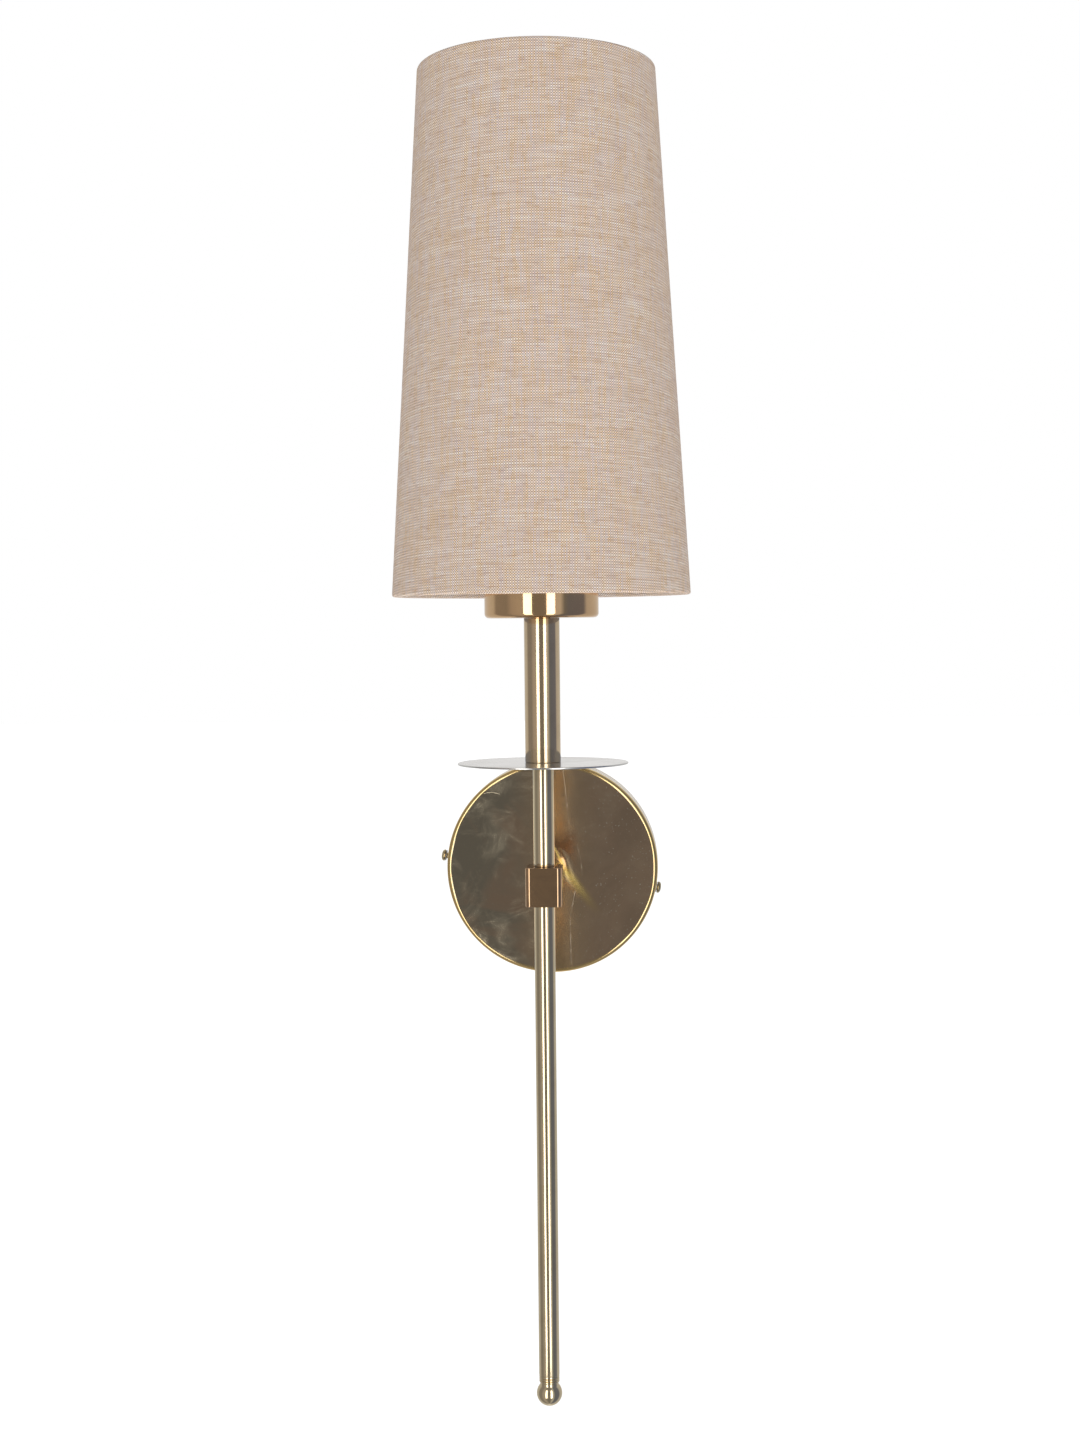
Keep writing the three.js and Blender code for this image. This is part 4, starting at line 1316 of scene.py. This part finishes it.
def filaments():
    """A glass foot with a cross at each end, and four light strips that lean between them."""
    low, high = heights("bulb_filaments")
    foot = [(0, low), (9, low), (8.6, low + 1), (3.4, low + 8), (2.4, low + 12)]
    tip = [(1.5, high - 1.5), (0.9, high), (0, high)]
    parts = [on_stem("post", foot + tip, columns=TINY)]
    count, spread, reach, lean, strip = 4, 4.6, 16, 0.1, 0.8
    for i in range(count):
        turn = Matrix.Rotation((i + 0.5) * 2 * pi / count, 3, "Z")
        middle = Vector((spread, 0, low + 20))
        half = Vector((sin(lean) * reach, 0, cos(lean) * reach))
        start, end = STEM + turn @ (middle - half), STEM + turn @ (middle + half)
        line = [start.lerp(end, k / 12) for k in range(13)]
        parts.append(tube("strip", line, strip, 12, taper=lambda s: 1.0 if 0.04 < s < 0.96 else 0.6))
    for z in (low + 8, high - 2.5):
        parts.append(hoop(3.8, z, 0.45, 36, 8))
        for a in range(2):
            arm = about("Z", a * pi / 2, 4.0, 0)
            line = [STEM + Vector((0, 0, z)) + arm * k for k in (-1, -0.5, 0, 0.5, 1)]
            parts.append(tube("bar", line, 0.35, 8))
    return merge("filaments", parts)


# ---------------------------------------------------------------- shade

SHADE_LOW, SHADE_HIGH = heights("shade_fabric")
SHADE_BASE = radius_of("shade_fabric")
TAPER = atan2(SHADE_BASE - CROWN, SHADE_HIGH - SHADE_LOW)
RISE = Vector((-sin(TAPER), cos(TAPER)))  # up the shade's face, as radius and height
OUT = Vector((cos(TAPER), sin(TAPER)))
LOW_WIRE = SHADE_LOW + ROLL + CLOTH / 2
HIGH_WIRE = SHADE_HIGH - ROLL - CLOTH / 2


def make_shade(others):
    make_liner(others["liner"])
    make_cloth(others["linen"])
    ring = hoop(rim_wire(HIGH_WIRE), HIGH_WIRE, WIRE)
    finish(ring, "shade_top_ring", others["white_wire"])
    finish(fitter(), "shade_fitter", others["white_wire"])


def up_share(z):
    return (z - SHADE_LOW) / (SHADE_HIGH - SHADE_LOW)


def shade_radius(z):
    return SHADE_BASE + (CROWN - SHADE_BASE) * up_share(z)


def rim_wire(z):
    """The radius of a rim wire's centre at a height."""
    return shade_radius(z) - WIRE_DEPTH / cos(TAPER)


def rim_line(z, way):
    """The cloth's middle line at a rim, from the hem's free end to the face: along the liner, round
    the wire, and round the rim's outer edge. way is -1 at the foot and 1 at the crown."""
    tilt = degrees(TAPER)
    edge = 180 - 90 * way  # the direction in which the rim faces
    wire = Vector((rim_wire(z), z))
    tucked = OUT * (WIRE_DEPTH - 1.5 * CLOTH - LINER - 0.25)
    hem = [tuple(wire + tucked - RISE * way * s) for s in (HEM, 6.4, 5, 3.8)]
    corner = wire + OUT * (WIRE_DEPTH - CLOTH / 2 - RIM_EDGE)
    corner += RISE * (z + way * (ROLL - RIM_EDGE) - corner.y) / RISE.y
    return (
        hem
        + arc(*wire, ROLL, 180 + tilt + 55 * way, edge, 12)
        + arc(*corner, RIM_EDGE, edge, tilt + 180 * (1 - way), 8)
    )


def cloth_line():
    """The cloth's middle line in radius and height, from the lower hem to the upper one, and the
    place in it where the face begins."""
    low = rim_line(LOW_WIRE, -1)
    high = rim_line(HIGH_WIRE, 1)[::-1]
    rows = 150
    start, end = Vector(low[-1]), Vector(high[0])
    face = [tuple(start.lerp(end, i / rows)) for i in range(1, rows)]
    return low + face + high, len(low) - 1


def line_normals(line):
    """The outward normal at each point of a line of (radius, height)."""
    normals = []
    for i in range(len(line)):
        before = line[max(i - 1, 0)]
        after = line[min(i + 1, len(line) - 1)]
        along = Vector((after[0] - before[0], after[1] - before[1])).normalized()
        normals.append((along.y, -along.x))
    return normals


def line_lengths(line):
    """How far along a line each of its points lies."""
    lengths = [0.0]
    for a, b in zip(line, line[1:]):
        lengths.append(lengths[-1] + hypot(b[0] - a[0], b[1] - a[1]))
    return lengths


def make_cloth(material):
    """The linen, a single sheet that overlaps itself in a glued seam at the back."""
    line, foot = cloth_line()
    normals, lengths = line_normals(line), line_lengths(line)
    apex = SHADE_BASE / sin(TAPER)  # from the cut's centre to its lower edge
    overlap, lap = SEAM / SHADE_BASE, CLOTH * 1.06
    columns = 360
    points, uvs = [], []
    for swing, risen in lapped_columns(columns, overlap, 0.35):
        bend = swing * sin(TAPER)
        for (r, z), n, s in zip(line, normals, lengths):
            proud = lap * risen + cloth_ripple(swing, z)
            place = about("Z", -pi / 2 + swing, r + n[0] * proud, z + n[1] * proud)
            points.append(STEM + place)
            rho = apex - (s - lengths[foot])
            uvs.append((rho * sin(bend) * MM, (apex - rho * cos(bend)) * MM))
    sheet = thick_sheet("cloth", points, uvs, columns, len(line), CLOTH)
    finish(sheet, "shade_fabric", material)


def make_liner(material):
    """A stiff translucent sheet inside the linen, lapped at the back."""
    depth, lap, margin = CLOTH + 0.12 + LINER / 2, LINER * 1.1, 1.4
    low, high = SHADE_LOW + margin, SHADE_HIGH - margin
    rows, columns = 8, 240
    points, uvs = [], []
    for swing, risen in lapped_columns(columns, 6 / SHADE_BASE, 0.4):
        for k in range(rows + 1):
            z = low + (high - low) * k / rows
            radius = shade_radius(z) - (depth + lap) / cos(TAPER) + lap * (1 - risen)
            points.append(STEM + about("Z", -pi / 2 + swing, radius, z))
            uvs.append((swing * SHADE_BASE * MM, z * MM))
    sheet = thick_sheet("liner", points, uvs, columns, rows + 1, LINER)
    finish(sheet, "shade_liner", material)


def lapped_columns(count, overlap, ease):
    """The angle of each column of a sheet that goes round the shade and laps over itself, and how
    far it has risen onto the lap."""
    turn = 2 * pi + overlap
    for i in range(count + 1):
        swing = turn * i / count - turn / 2
        yield swing, smooth((swing - (turn / 2 - overlap * (1 + ease))) / (overlap * ease))


def thick_sheet(name, points, uvs, columns, rows, thickness):
    """A sheet of points, column by column, thickened on both of its sides."""
    starts = [i * rows + k for i in range(columns) for k in range(rows - 1)]
    faces = [(a, a + rows, a + rows + 1, a + 1) for a in starts]
    piece = mesh_piece(name, points, faces, uvs, 60, solid=False)
    modifier = piece.modifiers.new("thickness", "SOLIDIFY")
    modifier.thickness = thickness * MM
    modifier.offset = 0
    modifier.use_even_offset = True
    apply_modifiers(piece)
    shade(piece.data, 60)
    return piece


def cloth_ripple(swing, z):
    """The cloth isn't glued down quite flat: it stands proud or sinks by up to 0.06 mm."""
    share = up_share(z)
    calm = max(0.0, 4 * share * (1 - share))
    wave = sin(7 * swing + 3 * share) * 0.03 + sin(19 * swing - 11 * share) * 0.015
    slubs = sin(z * 1.9 + 5 * sin(swing * 3)) * sin(swing * 31 + z) * 0.012
    return calm * (wave + slubs)


def hoop(radius, z, wire, count=180, sides=16):
    line = [STEM + about("Z", 2 * pi * i / count, radius, z) for i in range(count)]
    return tube("hoop", line, wire, sides, closed=True)


def fitter():
    """The lower rim wire, the flat ring that sits on the lampholder, and three arms."""
    inner, outer, sheet, arm, arms = 20.0, 26.0, 1.4, 1.2, 3
    low = SHADE_SEAT + 0.3
    seat = on_stem("seat", pipe(low, low + sheet, outer, inner, 0.3), columns=ROUND)
    middle, rim = low + sheet / 2, rim_wire(LOW_WIRE)
    route = [
        (outer - 1.2, middle), (outer + 4, middle),
        ((outer + rim) / 2 + 4, (middle + LOW_WIRE) / 2 + 3), (rim, LOW_WIRE),
    ]
    parts = [seat, hoop(rim, LOW_WIRE, WIRE)]
    for i in range(arms):
        angle = pi / 2 + i * 2 * pi / arms
        line = smooth_path([STEM + about("Z", angle, r, z) for r, z in route], 10)
        parts.append(tube("arm", line, arm, 16))
    return merge("fitter", parts)


# ---------------------------------------------------------------- wiring


def supply_route(side, pole):
    """From the lampholder down the stem, through the block and arm, to the terminal block."""
    lane, well, end = side * LANE, side * WELL, pole * POLE
    y, entry = STEM.y, TERMINAL.y
    return [
        (well, y, 140.5), (well, y, 137.3), (lane * 1.6, y, 134.1), (lane, y, 129.1), (lane, y, 100),
        (lane, y, 70), (lane, y, 40), (lane, y, 20), (lane, y, 9), (lane, y, 5),
        (lane, y + 1.4, 1.4), (lane, y + 5, 0), (lane, y + 9, 0), (lane, y + 22, 0), (lane, y + 45, 0),
        (lane, -20, 0), (lane, -13, 0), (lane, -9, 0.4), (lane + end * 0.1, -6, 3.5),
        ((lane + end) / 2, -7.5, 9), (end, entry, 13.6), (end, entry, 17.2),
    ]


EARTH_ROUTE = [
    (16, -17.8, 0), (20, -17.8, 0), (23, -15, 2), (21, -10.5, 7), (14, -9, 9.5), (9.5, -10.5, 11.2),
    (POLE, TERMINAL.y, 14.8), (POLE, TERMINAL.y, 17.2),
]


def make_wiring(metals, others):
    routes = {"live": supply_route(-1, -1), "neutral": supply_route(1, 0), "earth": EARTH_ROUTE}
    for name, route in routes.items():
        wire = tube("wire", smooth_path(route), CORE, 16)
        finish(wire, f"wire_{name}", others[name])
    finish(terminal_block(), "terminal_block", others["nylon"])
    for pole, name in ((-1, "live"), (0, "neutral"), (1, "earth")):
        for end, way in ((1, "in"), (-1, "out")):
            finish(clamp_screw(pole, end), f"terminal_screw_{name}_{way}", metals["contact"])


def terminal_block():
    """A strip of three poles, with a well for each clamp screw and a hole for each wire."""
    half = TERMINAL_SIZE / 2
    outline = block_outline(TERMINAL_SIZE.x, TERMINAL_SIZE.y, 1.2, 4)
    low, high = TERMINAL.z - half.z, TERMINAL.z + half.z
    body = prism("strip", outline, low, high, "Z", (0, TERMINAL.y, 0), edge=0.5)
    cutters = []
    for side in (-1, 1):
        middle, groove, bottom = side * POLE / 2, 0.7, TERMINAL.y + 4.5
        outline = [
            (middle - groove, bottom), (middle + groove, bottom), (middle + groove, 0),
            (middle - groove, 0),
        ]
        cutters.append(prism("groove", outline, 10, 40, "Z"))
    for pole in (-1, 0, 1):
        for end in (-1, 1):
            well = TERMINAL + Vector((pole * POLE, half.y, end * CLAMP))
            cutters.append(rod_cutter(2.0, 5, "Y", well))
        entry = TERMINAL + Vector((pole * POLE, 0, half.z))
        cutters.append(rod_cutter(1.5, 5, "Z", entry))
    return cut(body, *cutters)


def clamp_screw(pole, end):
    """A slotted clamp screw at the bottom of a terminal's well."""
    radius, height, half_slot, slot_depth = 1.7, 1.6, 0.4, 0.5
    back = TERMINAL.y + TERMINAL_SIZE.y / 2 - 2.5 + 0.3
    corners = [(0, back), (radius, back), (radius, back + height, 0.25), (0, back + height)]
    centre = (pole * POLE, 0, TERMINAL.z + end * CLAMP)
    body = revolve("screw", rounded(corners), "Y", centre, TINY)
    turn = radians(35 * pole + 60 * end)
    slot = rectangle((-3, -half_slot), (3, half_slot))
    outline = [(x * cos(turn) - z * sin(turn), x * sin(turn) + z * cos(turn)) for x, z in slot]
    cutter = prism("slot", outline, back + height - slot_depth, back + 3, "Y", centre)
    return cut(body, cutter)


# ---------------------------------------------------------------- camera, lights and floor


VIEW_TURN = 3.25  # degrees from the wall's normal to the line from the stem to the camera


def make_camera():
    """A 50 mm lens a metre in front, a little to the right of the stem and near the shade's foot."""
    data = bpy.data.cameras.new("camera")
    data.sensor_width = 36
    data.lens = 50.06
    camera = bpy.data.objects.new("camera", data)
    eye = (0.050582, -0.97948, 0.114591)  # in metres
    heading, down, lean = 3.327, 2.590, 0.593
    turn = Matrix.Rotation(radians(heading), 4, "Z")
    tip = Matrix.Rotation(radians(90 - down), 4, "X")
    roll = Matrix.Rotation(radians(-lean), 4, "Z")
    camera.matrix_world = Matrix.Translation(eye) @ turn @ tip @ roll
    bpy.context.scene.collection.objects.link(camera)
    bpy.context.scene.camera = camera


def area_light(name, azimuth, distance, size, low, high, radiance, tint=(1, 1, 1)):
    """An upright light round the stem. Azimuth 0 is towards the camera, and goes up to its right."""
    data = bpy.data.lights.new(name, "AREA")
    data.shape = "RECTANGLE"
    data.size = size
    data.size_y = high - low
    data.energy = radiance * pi * size * (high - low)
    data.color = tint
    light = bpy.data.objects.new(name, data)
    angle = radians(azimuth + VIEW_TURN)
    spot = STEM * MM + Vector((sin(angle), -cos(angle), 0)) * distance
    facing = Matrix.Rotation(angle, 4, "Z") @ Matrix.Rotation(radians(90), 4, "X")
    light.matrix_world = Matrix.Translation((spot.x, spot.y, (low + high) / 2)) @ facing
    light.visible_camera = False
    light.visible_transmission = False
    bpy.context.scene.collection.objects.link(light)
    return light


def make_lights():
    """Two tall strips that the metal mirrors, and one broad soft light for the cloth."""
    for name, azimuth, size in (("strip_left", -28.0, 0.48), ("strip_right", 18.6, 0.46)):
        strip = area_light(name, azimuth, 1.6, size, -1.2, 0.9, 2.6, (1, 0.99, 0.97))
        strip.visible_diffuse = False
    soft = area_light("soft_front", 2, 2.4, 1.7, -1.1, 1.3, 1.3)
    soft.visible_glossy = False


ROOM = [  # what polished metal mirrors, as light values by azimuth from the camera
    (-180, (0.80, 0.79, 0.78)),
    (-150, (0.56, 0.56, 0.55)),
    (-114, (0.48, 0.48, 0.47)),
    (-104, (0.26, 0.25, 0.25)),
    (-75, (0.245, 0.24, 0.24)),
    (-62, (0.36, 0.34, 0.33)),
    (-44, (0.40, 0.38, 0.36)),
    (-16, (0.20, 0.195, 0.19)),
    (6, (0.205, 0.20, 0.195)),
    (28, (0.48, 0.48, 0.49)),
    (38, (0.48, 0.49, 0.50)),
    (47, (0.17, 0.185, 0.21)),
    (56, (0.14, 0.16, 0.22)),
    (94, (0.16, 0.175, 0.24)),
    (104, (0.45, 0.455, 0.47)),
    (150, (0.56, 0.56, 0.55)),
    (180, (0.80, 0.79, 0.78)),
]
SECOND_SIGHT = (0.22, 0.24, 0.29)  # what metal shows of the wall's side when it is mirrored in metal


def make_world():
    """White behind the object, soft light on cloth, and a room of grey panels for the metal."""
    world = bpy.data.worlds.new("studio")
    world.use_nodes = True
    bpy.context.scene.world = world
    g = Nodes(world.node_tree)
    g.tree.nodes.clear()
    ray = g.node("LightPath").outputs
    x, y, z = g.split(g.node("TexCoord").outputs["Generated"])
    strength = g.spread(z, -0.3, 1, 0.66, 0.32, "LINEAR")
    soft = g.node("Background", Color=(1, 1, 1, 1), Strength=strength).outputs[0]
    room = g.node("Background", Color=mirrored_room(g, ray, x, y)).outputs[0]
    white = g.node("Background", Color=(1, 1, 1, 1)).outputs[0]
    light = g.choose(ray["Is Glossy Ray"], soft, room)
    g.node("OutputWorld", Surface=g.choose(ray["Is Camera Ray"], light, white))


def mirrored_room(g, ray, x, y):
    """The room's light in a direction. Its wall side is dimmer where metal is mirrored in metal."""
    azimuth = g.math("ARCTAN2", x, g.times(y, -1))
    turn = radians(VIEW_TURN)
    ramp = g.node("ValToRGB", Fac=g.spread(azimuth, turn - pi, turn + pi, way="LINEAR"))
    stops = ramp.color_ramp.elements
    while len(stops) < len(ROOM):
        stops.new(0.5)
    for stop, (angle, colour) in zip(stops, ROOM):
        stop.position = (angle + 180) / 360
        stop.color = (*colour, 1)
    bounces = g.minus(ray["Ray Depth"], ray["Transmission Depth"])
    behind = g.spread(y, -0.2, 0.2, way="LINEAR")
    dim = g.times(g.math("GREATER_THAN", bounces, 2.5), behind)
    second = (*SECOND_SIGHT, 1)
    return g.node("MixRGB", Fac=dim, Color1=ramp.outputs[0], Color2=second).outputs[0]


def make_floor():
    """A plain white floor, well below the light, so large that its edge never shows."""
    half, level = 30000.0, -1300
    corners = [(x, y, level) for x, y in rectangle((-half, -half), (half, half))]
    floor = mesh_piece("floor", corners, [(0, 1, 2, 3)])
    g = Graph("floor_white", Base_Color=(0.93, 0.93, 0.93, 1), Roughness=0.9)
    g.set(g.shader, Emission_Color=(1, 1, 1, 1), Emission_Strength=0.75)
    floor.data.materials.append(g.material)
    floor.visible_glossy = False


def build():
    make_camera()
    metals, others = make_metals(), make_others()
    make_bracket(metals)
    make_canopy(metals)
    make_side_screws(metals)
    make_arm(metals)
    make_block(metals)
    make_stem(metals)
    make_lampholder(metals, others)
    make_bulb(metals, others)
    make_shade(others)
    make_wiring(metals, others)
    make_lights()
    make_world()
    make_floor()
    bpy.context.scene.view_settings.view_transform = "Standard"


build()
